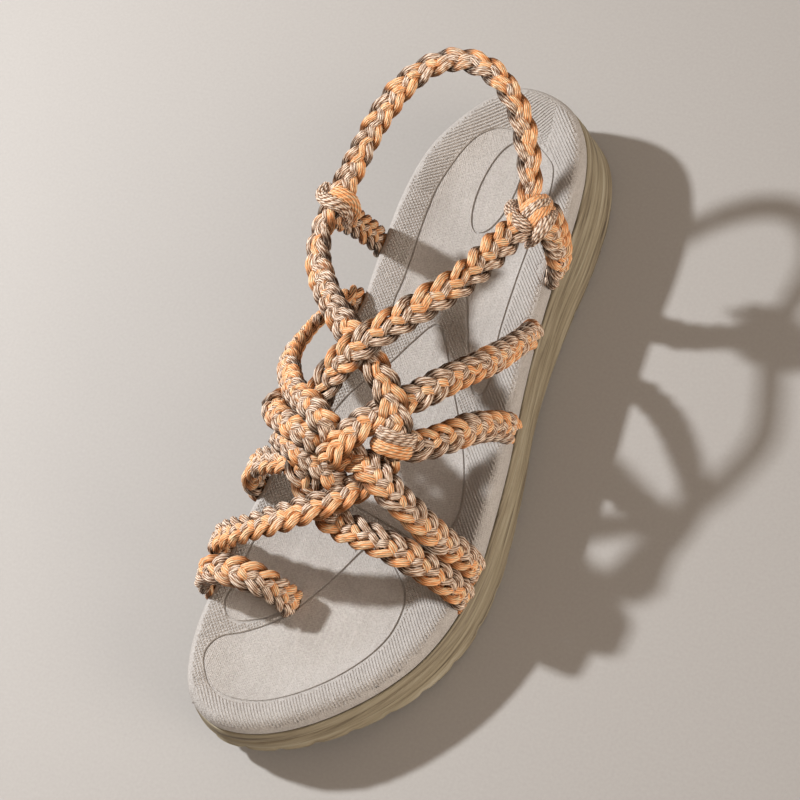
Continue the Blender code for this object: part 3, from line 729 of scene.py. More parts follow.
def yarn_object(name, lines, tree, values, finish):
    """Yarn along open lines. Each line is a dictionary of its points and of what is stored on them."""
    edges = []
    first = 0
    for line in lines:
        count = len(line["points"])
        edges += [(first + k, first + k + 1) for k in range(count - 1)]
        first += count
    joined = {label: np.concatenate([line[label] for line in lines]) for label in lines[0]}
    mesh = mesh_from(name, joined.pop("points"), edges=edges)
    for label, stored_values in joined.items():
        store(mesh, label, stored_values)
    made = grown(name, mesh, tree, values, finish)
    yarn_coordinates(made.data)
    return made


def make_plait(name, group, finish):
    straps = [strap for strap in STRAPS if strap.group == group]
    lines = []
    for number, strap in enumerate(straps):
        path, outward, run = strap_route(strap, LINE_STEP)
        ends = (run[0], run[-1])
        pitch = np.interp(run, ends, strap.pitch)
        girth = np.interp(run, ends, GIRTH.get(strap.name, (1.0, 1.0)))
        if strap.name in FREE_END:
            loose, wide, tip = FREE_END[strap.name]
            girth *= np.interp(run[-1] - run, (0.0, FREE_END_BULGE * loose, loose), (tip, wide, 1.0))
        phase = np.cumsum(np.gradient(run) / pitch) + STRAP_PHASE * number
        lines.append({"points": path, "outward": outward, "along": run * MM, "phase": phase,
                      "rate": 1 / (pitch * MM), "strap_no": np.full(len(path), number),
                      "half": run > run[-1] / 2, "girth": girth})
    made = yarn_object(name, lines, plait_tree(finish), PLAIT, finish)
    mesh = made.data
    turn_back_face(mesh)
    labels = ("bundle_no", "strap_no", "half")
    bundle, strap_no, half = (np.rint(stored(mesh, label)).astype(int) for label in labels)
    tones = np.array([[[TONE[letter] for letter in part] for part in strap.tones] for strap in straps])
    store(mesh, "tone", tones[strap_no, half, bundle])
    store(mesh, "lot", strap_no * BUNDLES_PER_PLAIT + bundle)
    return made


# Knot bands

FIRST_BAND_LOT = 90.0
# The bands' painted shade and highlight follow this value, as the plaits' follow their raised strands.
BAND_RAISED = 0.68            # how far a band stands out, as the crown of a plait is 1
KNOT_TURN = np.linspace(0, math.tau, 49)[:, None]
BAND = {"Step": 0.8 * MM, "Width": 4.6 * MM, "Thickness": 2.4 * MM, "Twist": 0.0}


def knot_bands():
    """Points, outward directions, girth and tone of every band of the knots."""
    centre = (KNOT_START + KNOT_END) / 2
    axis = unit(KNOT_END - KNOT_START)
    out = away_from_foot(centre[None])[0]
    out = unit(out - axis * out.dot(axis))
    half_width, half_thickness = KNOT_HALF
    aside = np.cross(axis, out) * np.cos(KNOT_TURN)
    above = out * np.sin(KNOT_TURN)
    for place, girth, tone in KNOT_RINGS:
        ring = centre + axis * place + aside * half_width + above * half_thickness
        yield ring, aside / half_width + above / half_thickness, girth, tone
    for fold in FOLDS:
        path = smooth_route(fold.route, LINE_STEP)[0]
        yield path, np.repeat(FOLD_FACE, len(path), axis=0), fold.girth, fold.tone


def make_knots(name, finish):
    lines = []
    for number, (path, normal, girth, tone) in enumerate(knot_bands()):
        steps = np.linalg.norm(np.diff(path, axis=0), axis=1)
        line = {"points": path, "outward": unit(normal),
                "along": np.concatenate(([0.0], np.cumsum(steps))) * MM}
        for label, value in (("tone", TONE[tone]), ("lot", FIRST_BAND_LOT + number), ("girth", girth),
                             ("raised", BAND_RAISED)):
            line[label] = np.full(len(path), value)
        lines.append(line)
    tree, given = geometry_tree("knot_band", BAND)
    return yarn_object(name, lines, finish_bundles(even_curve(tree, given), given, finish), BAND, finish)


# Sole

CUP_EDGE = -7.0               # edge of the cup, out from the joint line
LIP_ROWS = (                  # lip and groove: out from the joint line, and down from the joint
    (-5.0, 0.0), (-2.6, 0.0), (-2.4, 2.2), (-0.6, 2.2), (-0.1, 0.4), (0.35, 0.5), (0.8, 1.1), (1.1, 2.0),
    (1.3, 3.0), (1.3, 3.8), (0.95, 4.25), (0.95, 4.65), (1.3, 5.0))
FOOT_ROWS = ((1.2, 2.2), (0.6, 1.0), (-0.4, 0.25), (-1.6, 0.0))   # lower edge: out, and up from the ground
INNER_SHARES = (0.33, 0.62)   # rings of the flat middle, as shares of the outline
WALL_ROWS = 44
WALL_TOP = 5.5                # down from the joint
WALL_FOOT = 3.4               # up from the ground
WALL_OUT = (1.7, 1.0, 1.4)    # how far the wall stands out at its top, its middle and its foot
GRAIN_FADE = 0.06             # share of the wall over which its grain comes in
SCALLOP_SHARES = (0.62, 0.75)
SCALLOP = 0.7                 # depth of the notches along the sole's lower edge
SCALLOP_TOP = 0.6             # share of the wall down to where they start
TREAD_ROWS = ((112.0, 44.0), (-22.0, -112.0))
LUG_PITCH = 13.0
TREAD_GROOVE = 3.0
TREAD_DEPTH = 2.6
CUTTER_WIDTH, CUTTER_HEIGHT = 140.0, 20.0


def striation(run, height):
    """Wavy lines along the wall, like the grain of wood, in millimetres out."""
    drift = (0.9 * np.sin(run / 31.0 + 0.4) + 0.6 * np.sin(run / 13.7 + height / 9.0)
             + 0.35 * np.sin(run / 6.1 + height / 4.0 + 1.9))
    broad = np.sin(math.tau * height / 4.3 + drift)
    fine = np.sin(math.tau * height / 1.7 + 1.6 * drift + 0.8 * np.sin(run / 8.3))
    patch = 0.5 + 0.5 * np.sin(run / 17.0 + height / 2.6 + 0.7 * np.sin(run / 41.0))
    return 0.26 * broad + 0.17 * fine * patch


def edge_ring(out, heights):
    out = np.broadcast_to(np.asarray(out, float), len(EDGE))
    return np.column_stack((EDGE + EDGE_OUT * out[:, None], heights))


def cup_height(flat):
    return floor_height(flat) - FOOTBED_THICKNESS


def make_sole(finish):
    joint = along("joint", EDGE_SHARE)
    ground = ground_at(EDGE_SHARE)
    flare = along("flare", EDGE_SHARE)
    steps = np.linalg.norm(np.roll(EDGE, -1, axis=0) - EDGE, axis=1)
    run = np.concatenate(([0.0], np.cumsum(steps)[:-1]))
    scallop = SCALLOP * np.maximum(0.0, np.cos(math.tau * run / LUG_PITCH + 0.8 * np.sin(run / 23.0))) ** 4
    scallop *= np.interp(EDGE_SHARE, SCALLOP_SHARES, (0.0, 1.0))
    middles = [shrunk_flat(scale) for scale in INNER_SHARES]

    rings = [np.column_stack((flat, cup_height(flat))) for flat in middles]
    rings.append(edge_ring(CUP_EDGE, cup_height(EDGE)))
    rings += [edge_ring(out, joint - drop) for out, drop in LIP_ROWS]
    top, waist, foot = WALL_OUT
    for v in np.linspace(0.0, 1.0, WALL_ROWS):
        z = (joint - WALL_TOP) * (1 - v) + (ground + WALL_FOOT) * v
        out = top * (1 - v) * (1 - 2 * v) + 4 * v * (1 - v) * waist + foot * v * (2 * v - 1)
        out = out + flare * v + striation(run, z) * min(1.0, v / GRAIN_FADE)
        rings.append(edge_ring(out - scallop * max(0.0, (v - SCALLOP_TOP) / (1 - SCALLOP_TOP)), z))
    rings += [edge_ring(out + (flare - scallop), ground + rise) for out, rise in FOOT_ROWS]
    rings += [np.column_stack((flat, ground_at(share_at(flat[:, 1])))) for flat in middles[::-1]]
    made = carved("sole_unit", lofted("sole_unit", rings), tread_cutters(), finish)
    wall_coordinates(made.data, run)
    return made


def tread_cutters():
    cutters = []
    for first, last in TREAD_ROWS:
        steps = round((first - last) / LUG_PITCH)
        for y in first + (last - first) * np.arange(steps + 1) / steps:
            top = float(ground_at(share_at(y))) + TREAD_DEPTH
            build = bmesh.new()
            bmesh.ops.create_cube(build, size=1.0)
            size = Vector((CUTTER_WIDTH, TREAD_GROOVE, CUTTER_HEIGHT)) * MM
            bmesh.ops.scale(build, verts=build.verts, vec=size)
            centre = to_frame((0.0, y, top - CUTTER_HEIGHT / 2))
            bmesh.ops.translate(build, verts=build.verts, vec=Vector(centre))
            mesh = bpy.data.meshes.new("tread_groove")
            build.to_mesh(mesh)
            build.free()
            cutters.append(add_object("tread_groove", mesh))
    return cutters


def wall_coordinates(mesh, run):
    """Place on the wall as on a round wall of the same girth, so that no seam shows in the streaks."""
    places = np.empty((len(mesh.vertices), 3), np.float32)
    mesh.vertices.foreach_get("co", places.ravel())
    nearest = inset_of(places[:, :2] / MM - CENTRE_SHIFT[:2])[1]
    around = run[nearest] / run[-1] * math.tau
    radius = run[-1] / math.tau * MM
    round_wall = np.column_stack((np.cos(around) * radius, np.sin(around) * radius, places[:, 2]))
    store(mesh, "wall_place", round_wall)


# Footbed

FLOOR_SHARES = (0.06, 0.13, 0.2, 0.27, 0.34, 0.41, 0.48)
BETWEEN = (0.2, 0.4, 0.6, 0.8)
EDGE_ROWS = (0.0, 0.15, 0.4, 0.8, 1.2, 1.7, 2.2, 2.8, 3.4, 4.0, 4.6, 5.2, 5.8, 6.5, 7.2, 8.0, 8.8, 9.8, 10.8,
             11.9, 13.0)
OUTER_ROWS = (0.35, 0.7)      # rows of the rim's outer side, as shares of its height from the top
SEAT_EDGE, CUP_START = -5.5, -7.5   # where the rim's seat on the sole ends and where the cup's bottom starts
LINE = {"Radius": 0.46 * MM}
LINE_SIDES = 8
LINE_SINK = 0.14              # middle of an engraved line under the surface
LINE_POINT_STEP = 1.6
SHARED_LINE = 0.9             # a pad's line this near the forefoot's is the same line and is lifted clear
SHARED_LIFT = 1.6
OVAL_POINTS = 64
NOTCH_WIDTH = 9.0
NOTCH_THICKNESS = 6.2
NOTCH_SIDES = 20
NOTCH_STEP = 2.0              # spacing of a notch's sections
NOTCH_SECTIONS = 12
NOTCH_DEPTH = 4.0             # how far a notch goes below the strap's end
TOE_HOLE = 9.0                # height of the hole for the toe loop above the loop's end
TOE_HOLE_SECTIONS = 6
SEARCH_BLOCK = 4000           # points that are compared with the outline at a time


def pad_lines():
    """Closed lines of the pads and the heel oval, as flat points."""
    lines = [smooth_route(points, LINE_POINT_STEP, closed=True)[0] for points in PADS.values()]
    turn = np.linspace(0, math.tau, OVAL_POINTS, endpoint=False)
    x, y = OVAL_HALF[0] * np.cos(turn), OVAL_HALF[1] * np.sin(turn)
    lines.append(np.column_stack((OVAL_CENTRE[0] + x * math.cos(OVAL_LEAN) + y * math.sin(OVAL_LEAN),
                                  OVAL_CENTRE[1] - x * math.sin(OVAL_LEAN) + y * math.cos(OVAL_LEAN))))
    return lines


def inset_of(flat):
    """Distance in from the joint line, and the outline point that is nearest."""
    inset = np.empty(len(flat))
    nearest = np.empty(len(flat), int)
    for start in range(0, len(flat), SEARCH_BLOCK):
        block = slice(start, start + SEARCH_BLOCK)
        gaps = np.sum((flat[block][:, None, :] - EDGE[None, :, :]) ** 2, axis=2)
        nearest[block] = np.argmin(gaps, axis=1)
        inset[block] = np.sqrt(np.min(gaps, axis=1))
    return inset, nearest


def on_footbed(flat):
    inset, nearest = inset_of(flat)
    return np.column_stack((flat, footbed_height(flat, inset, EDGE_SHARE[nearest])))


def line_cutters():
    tree, given = geometry_tree("engraved_line", LINE)
    curve = wire(tree, "GeometryNodeMeshToCurve", {"Mesh": given["Geometry"]})
    circle = circle_of(tree, LINE_SIDES, given["Radius"])
    add(tree, "NodeGroupOutput", {"Geometry": tube(curve, circle, caps=False)})
    cutters = []
    lines = pad_lines()
    for number, flat in enumerate(lines):
        count = len(flat)
        ring = on_footbed(flat)
        ring[:, 2] -= LINE_SINK
        if number > 0:
            ring[distance_to(lines[0], flat) < SHARED_LINE, 2] += SHARED_LIFT
        mesh = mesh_from("engraved_line", ring, edges=[(k, (k + 1) % count) for k in range(count)])
        cutters.append(grown("engraved_line", mesh, tree, LINE))
    return cutters


def standing_ends():
    """Points up from each strap's foot in the rim and up the toe loop's hole, with outward directions."""
    for strap in STRAPS:
        path, outward = strap_route(strap, NOTCH_STEP)[:2]
        if len(strap.route[0]) == 2:
            yield path[:NOTCH_SECTIONS], outward[:NOTCH_SECTIONS]
        if len(strap.route[-1]) == 2:
            yield path[::-1][:NOTCH_SECTIONS], outward[::-1][:NOTCH_SECTIONS]
        if strap.group == "toe":
            upright = np.linspace(0.0, TOE_HOLE, TOE_HOLE_SECTIONS)[:, None] * np.array(UP)
            yield path[-1] + upright, np.repeat(outward[-1:], TOE_HOLE_SECTIONS, axis=0)


def notch_cutters():
    """Room in the rim for each strap end, and the hole in the floor for the toe loop."""
    cutters = []
    turn = math.tau * np.arange(NOTCH_SIDES) / NOTCH_SIDES
    across = (np.cos(turn) * NOTCH_WIDTH / 2)[:, None]
    deep = (np.sin(turn) * NOTCH_THICKNESS / 2)[:, None]
    for points, out in standing_ends():
        below = points[0] + unit(points[0] - points[1]) * NOTCH_DEPTH
        points = np.vstack((below, points))
        out = np.vstack((out[:1], out))
        side = np.cross(unit(np.gradient(points, axis=0)), out)
        rings = [points[k] + side[k] * across + out[k] * deep for k in range(len(points))]
        faces = wall_faces(len(rings), NOTCH_SIDES)
        faces.append(tuple(range(NOTCH_SIDES)))
        faces.append(tuple(range((len(rings) - 1) * NOTCH_SIDES, len(rings) * NOTCH_SIDES)))
        mesh = outward_faces(mesh_from("strap_notch", np.vstack(rings), faces))
        cutters.append(add_object("strap_notch", mesh))
    return cutters


def make_footbed(finish):
    seat = along("joint", EDGE_SHARE) + GAP
    inner = [shrunk_flat(scale) for scale in FLOOR_SHARES]
    edge_end = EDGE - EDGE_OUT * EDGE_ROWS[-1]
    inner += [inner[-1] + (edge_end - inner[-1]) * part for part in BETWEEN]
    rings = [on_footbed(flat) for flat in inner]
    rings += [footbed_ring(inset) for inset in EDGE_ROWS[::-1]]
    low = rings[-1][:, 2]
    rings += [edge_ring(0.0, low + (seat - low) * part) for part in OUTER_ROWS]
    rings += [edge_ring(0.0, seat), edge_ring(SEAT_EDGE, seat), edge_ring(CUP_START, cup_height(EDGE) + GAP)]
    for scale in INNER_SHARES[::-1]:
        flat = shrunk_flat(scale)
        rings.append(np.column_stack((flat, cup_height(flat) + GAP)))
    cutters = notch_cutters()[::-1] + line_cutters()
    return carved("footbed_shell", lofted("footbed_shell", rings), cutters, finish)


# Knurl and ribs of the footbed

KNURL_PITCH = 1.02
KNURL_TURN = math.radians(39.0)
KNURL_WAY = np.array((math.cos(KNURL_TURN), math.sin(KNURL_TURN)))
KNURL_BESIDE = np.array((-KNURL_WAY[1], KNURL_WAY[0]))
LATTICE = np.arange(-150.0, 150.0, KNURL_PITCH)
KNURL_INSET = 3.0
KNURL = {"Size": 0.64 * MM, "Height": 0.55 * MM}
KNURL_SINK = 0.04
PAD_MARGIN = 0.75
NOTCH_MARGIN = 0.4
SURFACE_STEP = 0.2            # step over which the slope of the footbed is measured
RIB = {"Radius": 0.48 * MM}
RIB_REACH = 14.0
RIB_STEP = 0.8
RIB_END = 0.555               # ribs run along the outer side and round the toe to this share of the outline
HATCH_LINE = (69.5, -0.354)   # behind this line across the heel there are ribs too: y at x = 0, and slope
HATCH_SIDE = 15.0             # the heel's ribs turn to the outer side's way at this x
# Along the outline, as shares of it: width of the rim's plain band, and how deep the middle of a rib lies
PLAIN_BAND = ((0.3, 0.38, 0.6, 0.7), (2.6, 0.3, 0.3, 3.4))
RIB_DEPTH = ((0.34, 0.42, 0.6, 0.7), (0.1, 0.22, 0.22, 0.1))


def inside(polygon, flat):
    """Which points lie inside a closed line."""
    hit = np.zeros(len(flat), bool)
    x, y = flat[:, 0], flat[:, 1]
    for a, b in zip(polygon, np.roll(polygon, -1, axis=0)):
        crosses = (a[1] > y) != (b[1] > y)
        slope = (b[0] - a[0]) / (b[1] - a[1] if b[1] != a[1] else 1e-9)
        hit ^= crosses & (x < a[0] + (y - a[1]) * slope)
    return hit


def distance_to(line, flat):
    best = np.full(len(flat), np.inf)
    for a, b in zip(line, np.roll(line, -1, axis=0)):
        edge = b - a
        u = np.clip((flat - a) @ edge / max(edge @ edge, 1e-9), 0, 1)
        best = np.minimum(best, np.linalg.norm(flat - a - u[:, None] * edge, axis=1))
    return best


def clear_of_pads(flat):
    """Which points lie off the smooth pads and away from the strap ends."""
    clear = np.ones(len(flat), bool)
    for polygon in pad_lines()[:-1]:
        clear &= ~inside(polygon, flat)
        clear &= distance_to(polygon, flat) > PAD_MARGIN
    for foot in [points[0, :2] for points, outward in standing_ends()]:
        clear &= np.linalg.norm(flat - foot, axis=1) > NOTCH_WIDTH / 2 + NOTCH_MARGIN
    return clear


def rib_regions(flat):
    """Which points lie among the heel's ribs, and which among those of the outer side and the toe."""
    inset, nearest = inset_of(flat)
    place = nearest / len(EDGE)
    ribbed = (inset > np.interp(place, *PLAIN_BAND)) & (inset < RIB_REACH)
    heel = (flat[:, 1] > HATCH_LINE[0] + HATCH_LINE[1] * flat[:, 0]) & (flat[:, 0] < HATCH_SIDE)
    return ribbed & heel, ribbed & ~heel & (place < RIB_END)


def with_normals(flat):
    """Points on the footbed, the normals there, and the way along the surface between the lattice's two."""
    place = on_footbed(flat)
    corner = on_footbed(flat + (KNURL_WAY + KNURL_BESIDE) * SURFACE_STEP) - place
    other = on_footbed(flat + (KNURL_BESIDE - KNURL_WAY) * SURFACE_STEP) - place
    return place, unit(np.cross(corner, other)), unit(corner)


def knurl_points():
    """Places of the raised points: a square lattice seen from above, left out on pads and at straps."""
    across, ahead = np.meshgrid(LATTICE, LATTICE)
    flat = across.reshape(-1, 1) * KNURL_WAY + ahead.reshape(-1, 1) * KNURL_BESIDE
    flat = flat[inside(EDGE, flat)]
    inset, nearest = inset_of(flat)
    heel, outer = rib_regions(flat)
    outer_rim = (nearest < RIB_END * len(EDGE)) & (inset < RIB_REACH)
    flat = flat[(inset >= KNURL_INSET) & ~heel & ~outer & ~outer_rim]
    return with_normals(flat[clear_of_pads(flat)])


def make_knurl(finish):
    places, ups, runs = knurl_points()
    mesh = mesh_from("footbed_knurl", places - ups * KNURL_SINK)
    store(mesh, "up", ups)
    store(mesh, "run", runs)
    tree, given = geometry_tree("knurl", KNURL)
    sizes = {"Vertices": 4, "Radius Top": 0.0, "Radius Bottom": given["Size"], "Depth": given["Height"]}
    cone = wire(tree, "GeometryNodeMeshCone", sizes, fill_type="NGON")
    up, run = named(tree, "up", "FLOAT_VECTOR"), named(tree, "run", "FLOAT_VECTOR")
    turn = wire(tree, "FunctionNodeAxesToRotation", {"Primary Axis": up, "Secondary Axis": run},
                primary_axis="Z", secondary_axis="X")
    points = wire(tree, "GeometryNodeMeshToPoints", {"Mesh": given["Geometry"]})
    cones = wire(tree, "GeometryNodeInstanceOnPoints", {"Points": points, "Instance": cone, "Rotation": turn})
    return grown("footbed_knurl", mesh, finish_tree(cones, finish), KNURL, finish)


def rib_rows(way, beside, region):
    """Points, normals and edges of straight ribs that lie along the rows of the raised points."""
    reach = np.arange(LATTICE[0], LATTICE[-1], RIB_STEP)
    flat = (beside * LATTICE[:, None, None] + way * reach[None, :, None]).reshape(-1, 2)
    index = np.flatnonzero(inside(EDGE, flat))
    index = index[rib_regions(flat[index])[region]]
    index = index[clear_of_pads(flat[index])]
    follows = np.flatnonzero((index[1:] == index[:-1] + 1) & (index[1:] % len(reach) != 0))
    place, up = with_normals(flat[index])[:2]
    depth = np.interp(inset_of(flat[index])[1] / len(EDGE), *RIB_DEPTH)
    return place - up * depth[:, None], up, np.column_stack((follows, follows + 1))


def make_ribs(finish):
    """Fine ribs on the footbed's edge: round the toe, along the outer side and across the heel."""
    heel = rib_rows(KNURL_WAY, KNURL_BESIDE, 0)
    outer = rib_rows(KNURL_BESIDE, KNURL_WAY, 1)
    points, ups, edges = zip(heel, outer)
    edges = np.vstack((edges[0], edges[1] + len(points[0])))
    mesh = mesh_from("footbed_ribs", np.vstack(points), edges=edges)
    store(mesh, "up", np.vstack(ups))
    tree, given = geometry_tree("edge_ribs", RIB)
    curve = wire(tree, "GeometryNodeMeshToCurve", {"Mesh": given["Geometry"]})
    circle = circle_of(tree, 4, given["Radius"])
    curve = upright_curve(curve, named(tree, "up", "FLOAT_VECTOR"))
    curve = wire(tree, "GeometryNodeSetCurveTilt", {"Curve": curve, "Tilt": math.pi / 4})
    return grown("footbed_ribs", mesh, finish_tree(tube(curve, circle), finish), RIB, finish)


# Materials

WEAVE_PITCH = 0.00085
WEAVE_TURN, LINEN_TURN = math.radians(40.0), math.radians(14.0)
LINEN_SCALE = (640.0, 60.0, 60.0)
STREAK_SCALE = (28.0, 28.0, 760.0)
PEBBLES_PER_METRE = 1500.0
PLY_LENGTH = 0.0024           # one dash of the twisted yarn, in metres
FLECKS_PER_METRE = 330.0
PATCHES_PER_METRE = 55.0      # how often a bundle shows its neighbour's tone
FOAM_COLOURS = ((0.34, (0.375, 0.343, 0.314)), (0.66, (0.50, 0.469, 0.438)))
RUBBER_COLOURS = ((0.3, (0.069, 0.051, 0.03)), (0.42, (0.191, 0.152, 0.095)), (0.56, (0.282, 0.238, 0.158)),
                  (0.74, (0.37, 0.332, 0.247)))
ORANGE_COLOURS = ((0.1, (0.42, 0.11, 0.026)), (0.36, (0.86, 0.315, 0.1)), (0.6, (0.97, 0.46, 0.2)),
                  (0.86, (1.0, 0.735, 0.455)))
BROWN_COLOURS = ((0.14, (0.12, 0.047, 0.02)), (0.38, (0.39, 0.205, 0.108)), (0.6, (0.7, 0.452, 0.3)),
                 (0.86, (0.97, 0.8, 0.645)))
FLOOR_COLOURS = ((0.3, (0.365, 0.345, 0.324)), (0.7, (0.395, 0.375, 0.354)))


def new_material(name, roughness):
    made = bpy.data.materials.new(name)
    made.use_nodes = True
    tree = made.node_tree
    shader = tree.nodes["Principled BSDF"]
    shader.inputs["Roughness"].default_value = roughness
    return made, tree, shader


def moulded_grain_group():
    """Fine pebble of moulded foam and rubber, as a height and a tint."""
    inputs = {"Vector": "Vector", "Fine Scale": "Float", "Broad Scale": "Float"}
    tree, given = new_tree("moulded_grain", "Shader", inputs, {"Height": "Float", "Tint": "Float"})
    fine = noise(tree, given["Vector"], given["Fine Scale"], 2.0)
    broad = noise(tree, given["Vector"], given["Broad Scale"], 3.0)
    add(tree, "NodeGroupOutput", {"Height": fine, "Tint": fine * 0.7 + broad * 0.3})
    return tree


GRAIN = moulded_grain_group()


def object_place(tree):
    return wire(tree, "ShaderNodeTexCoord", output="Object")


def grain_of(tree, fine, broad):
    """Height and tint of the moulded grain."""
    made = add(tree, "ShaderNodeGroup", {
        "Vector": object_place(tree), "Fine Scale": fine, "Broad Scale": broad}, node_tree=GRAIN)
    return Wire(tree, made.outputs["Height"]), Wire(tree, made.outputs["Tint"])


def attribute(tree, name, output="Fac"):
    return wire(tree, "ShaderNodeAttribute", output=output, attribute_name=name)


def ramp(value, stops):
    made = add(value.tree, "ShaderNodeValToRGB", {"Fac": value})
    elements = made.color_ramp.elements
    while len(elements) < len(stops):
        elements.new(0.5)
    for element, (place, colour) in zip(elements, stops):
        element.position = place
        element.color = (*colour, 1.0)
    return Wire(value.tree, made.outputs["Color"])


def ranged(value, start, end, low=0.0, high=1.0):
    return wire(value.tree, "ShaderNodeMapRange", {0: value, 1: start, 2: end, 3: low, 4: high})


def bump(height, distance, strength):
    return wire(height.tree, "ShaderNodeBump", {"Height": height, "Distance": distance, "Strength": strength})


def footbed_material():
    made, tree, shader = new_material("footbed_foam", 0.72)
    place = object_place(tree)
    pebble, tint = grain_of(tree, PEBBLES_PER_METRE, 60.0)
    turned = wire(tree, "ShaderNodeMapping", {"Vector": place, "Rotation": (0.0, 0.0, WEAVE_TURN)})
    axes = add(tree, "ShaderNodeSeparateXYZ", {0: turned}).outputs
    wave_x, wave_y = ((Wire(tree, axes[way]) * (math.tau / WEAVE_PITCH)).math("SINE") for way in "XY")
    weave = wave_x * wave_y
    lengthwise = wire(tree, "ShaderNodeMapping", {
        "Vector": place, "Rotation": (0.0, 0.0, LINEN_TURN), "Scale": LINEN_SCALE})
    linen = noise(tree, lengthwise, 1.0, 2.0)
    colour = ramp((linen - 0.5) * 0.2 + (weave * 0.035 + tint), FOAM_COLOURS)
    height = weave * 0.2 + (linen * 0.5 + pebble)
    connect(shader, {"Base Color": colour, "Normal": bump(height, 0.00042, 0.85)})
    return made


def sole_material():
    made, tree, shader = new_material("sole_rubber", 0.66)
    wall = attribute(tree, "wall_place", "Vector")
    stretched = wire(tree, "ShaderNodeMapping", {"Vector": wall, "Scale": STREAK_SCALE})
    streak = noise(tree, stretched, 1.0, 5.0, Roughness=0.62, Distortion=0.35)
    pebble = grain_of(tree, PEBBLES_PER_METRE, 45.0)[0]
    relief = bump(streak + pebble * 0.25, 0.0005, 0.8)
    connect(shader, {"Base Color": ramp(streak, RUBBER_COLOURS), "Normal": relief})
    return made


def yarn_material():
    made, tree, shader = new_material("braided_yarn", 0.52)
    tone, lot, ridge, raised = (attribute(tree, name) for name in ("tone", "lot", "ridge", "raised"))
    yarn = add(tree, "ShaderNodeSeparateXYZ", {0: wire(tree, "ShaderNodeUVMap", uv_map="yarn_uv")}).outputs
    length = Wire(tree, yarn["X"])
    turns = Wire(tree, yarn["Y"]) * float(YARNS)
    number, across = turns.math("FLOOR"), turns.math("FRACT")

    # Plies, flecks, how light each yarn is, and a painted highlight on the strands' crowns
    chance = wire(tree, "ShaderNodeTexWhiteNoise", {"Vector": combined(tree, number, lot)}, "Value",
                  noise_dimensions="2D")
    fibre_place = combined(tree, length * FLECKS_PER_METRE, lot * 5.3 + turns, number * 2.7)
    fleck = noise(tree, fibre_place, 1.0, 3.0, Roughness=0.65)
    phase = length * (1.0 / PLY_LENGTH) + across * 0.8 + chance * 3.0 + fleck * 0.9
    dash = (phase * math.tau).math("SINE") * 0.5 + 0.5
    # the last term is painted highlight and shade: strands are lighter raised on the crown, darker at the
    # edges
    loose = fleck * 1.1 + (chance * 0.16 - 0.38) + ranged(raised, 0.2, 1.0, -0.12, 0.14)
    orange = ramp(dash * 0.36 + (loose + 0.16), ORANGE_COLOURS)
    brown = ramp(dash * 0.8 + (loose - 0.06), BROWN_COLOURS)

    # Tone, with patches of the neighbour's
    patch = noise(tree, combined(tree, length * PATCHES_PER_METRE, lot * 7.9), 1.0, 0.0)
    swap = ranged(patch, 0.61, 0.65) * lot.math("LESS_THAN", FIRST_BAND_LOT - 0.5)
    shown = (tone - swap).math("ABSOLUTE")
    colour = wire(tree, "ShaderNodeMix", {"Factor": shown, 6: orange, 7: brown}, 2, data_type="RGBA")

    # Painted shade between the yarns and where a strand goes under another
    groove_shade = (shown * 0.1 + 0.78) * (chance * 0.75 + 0.45)
    shade = 1.0 - groove_shade * (1.0 - ridge).math("POWER", 1.6)
    # painted shade: strands that dive under the others are darkened
    shade = shade * ranged(raised, -0.3, 0.75, 0.26, 1.0)
    shaded_yarn_colour = wire(tree, "ShaderNodeMix", {"Factor": 1.0, 6: colour, 7: shade}, 2, data_type="RGBA",
                blend_type="MULTIPLY")
    relief = bump(dash * 0.7 + fleck, 0.0003, 0.9)
    connect(shader, {"Base Color": shaded_yarn_colour, "Normal": relief, "Specular IOR Level": 0.15})
    return made


def floor_material():
    made, tree, shader = new_material("studio_floor", 0.8)
    tint = grain_of(tree, 900.0, 2.2)[1]
    connect(shader, {"Base Color": ramp(tint, FLOOR_COLOURS)})
    return made


# Camera, floor and light

PHOTO_SIZE = 800.0
AZIMUTH, ELEVATION, ROLL = math.radians(50.0), math.radians(61.0), math.radians(-32.5)
FOCAL, SENSOR = 80.0, 36.0
DISTANCE = 0.7591             # from the shoe's origin, in metres
ORIGIN_PIXEL = (573.8, 469.9)   # where the shoe's origin lies in the photo
CENTRE_PIXEL = (548.5, 440.0)   # middle of the view, in the photo
ENLARGE = 1.2                 # the view is this much closer than the photo
CLIP_START = 0.05
FLOOR_HALF = 3.0              # half the floor's side, in metres
SKY_COLOUR = (1.0, 0.81, 0.66, 1.0)
SKY_STRENGTH = 0.32
Lamp = namedtuple("Lamp", "name direction distance size power colour spread")
LAMPS = (
    Lamp("key_light", (-0.656, 0.006, 0.755), 0.85, 0.045, 9.1, (0.98, 1.0, 1.025), math.pi),
    Lamp("soft_fill", (0.9, -0.5, 0.7), 1.8, 1.4, 3.0, (1.0, 0.92, 0.84), math.pi),
    Lamp("low_fill", (0.95, -0.1, 0.3), 3.2, 1.9, 10.4, (1.0, 0.91, 0.82), math.radians(60.0)),
)


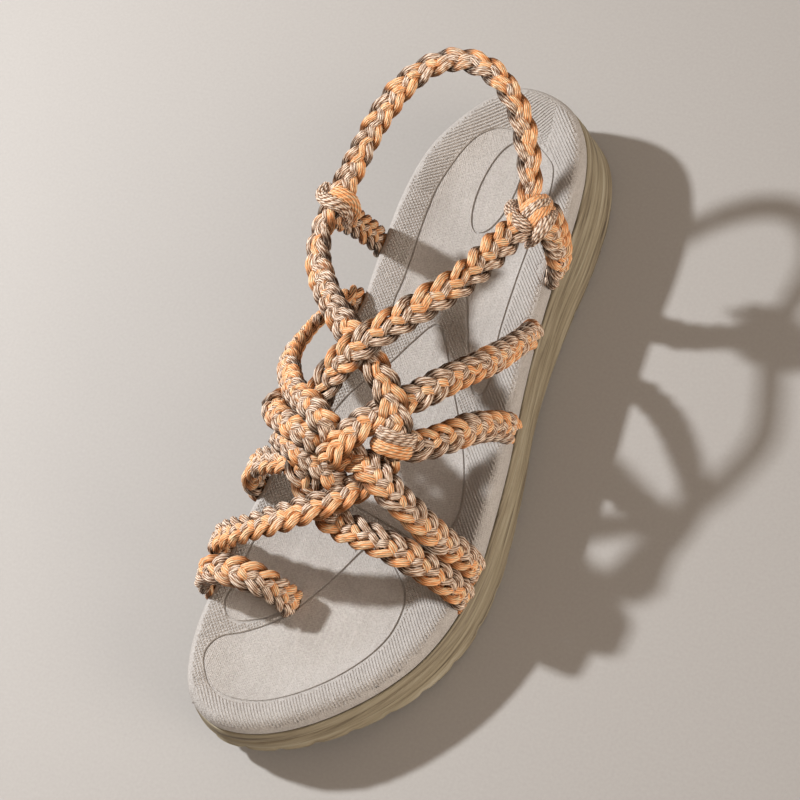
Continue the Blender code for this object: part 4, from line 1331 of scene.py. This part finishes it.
def make_camera():
    back = Vector((math.sin(AZIMUTH) * math.cos(ELEVATION), -math.cos(AZIMUTH) * math.cos(ELEVATION),
                   math.sin(ELEVATION)))
    right = Vector((math.cos(AZIMUTH), math.sin(AZIMUTH), 0.0))
    up = back.cross(right)
    turned_right = right * math.cos(ROLL) + up * math.sin(ROLL)
    turned_up = up * math.cos(ROLL) - right * math.sin(ROLL)
    pixels = FOCAL / SENSOR * PHOTO_SIZE
    aim = (turned_right * ((CENTRE_PIXEL[0] - ORIGIN_PIXEL[0]) / pixels)
           - turned_up * ((CENTRE_PIXEL[1] - ORIGIN_PIXEL[1]) / pixels) - back).normalized()
    side = aim.cross(turned_up).normalized()
    over = side.cross(aim)
    basis = Matrix((side, over, -aim)).transposed()
    lens = bpy.data.cameras.new("photo_camera")
    lens.lens = FOCAL * ENLARGE
    lens.sensor_width = SENSOR
    lens.clip_start = CLIP_START
    camera = bpy.data.objects.new("photo_camera", lens)
    place = Vector((CENTRE_SHIFT * MM).tolist()) + back * DISTANCE
    camera.matrix_world = Matrix.Translation(place) @ basis.to_4x4()
    bpy.context.scene.collection.objects.link(camera)
    bpy.context.scene.camera = camera


def add_lamp(lamp):
    light = bpy.data.lights.new(lamp.name, "AREA")
    light.size = lamp.size
    light.spread = lamp.spread
    light.energy = lamp.power
    light.color = lamp.colour
    made = bpy.data.objects.new(lamp.name, light)
    way = Vector(lamp.direction).normalized()
    made.location = way * lamp.distance
    made.rotation_euler = way.to_track_quat("Z", "Y").to_euler()
    bpy.context.scene.collection.objects.link(made)


def make_studio():
    mesh = bpy.data.meshes.new("studio_floor")
    corners = [(x * FLOOR_HALF, y * FLOOR_HALF, 0.0) for x, y in ((-1, -1), (1, -1), (1, 1), (-1, 1))]
    mesh.from_pydata(corners, [], [(0, 1, 2, 3)])
    floor = add_object("studio_floor", mesh, floor_material())
    for lamp in LAMPS:
        add_lamp(lamp)
    world = bpy.data.worlds.new("studio")
    world.use_nodes = True
    connect(world.node_tree.nodes["Background"], {"Color": SKY_COLOUR, "Strength": SKY_STRENGTH})
    bpy.context.scene.world = world
    bpy.context.scene.view_settings.view_transform = "Standard"


def main():
    make_camera()
    make_studio()
    yarn = yarn_material()
    foam = footbed_material()
    rubber = sole_material()
    straps = make_plait("front_cord", "front", yarn)
    back = make_plait("back_cord", "back", yarn)
    sides = make_plait("side_straps", "side", yarn)
    toe = make_plait("toe_loop_braid", "toe", yarn)
    knots = make_knots("knot_bands", yarn)
    sole = make_sole(rubber)
    footbed = make_footbed(foam)
    knurl = make_knurl(foam)
    ribs = make_ribs(foam)
    for piece, slot in ((straps, "braid"), (back, "braid"), (sides, "braid"), (toe, "braid"),
                        (knots, "braid"), (sole, "sole"), (footbed, "footbed"), (knurl, "footbed"),
                        (ribs, "footbed")):
        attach(piece, "root")
    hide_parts("upper_straps")
    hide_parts("toe_loop")
    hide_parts("sole")
    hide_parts("footbed")


main()
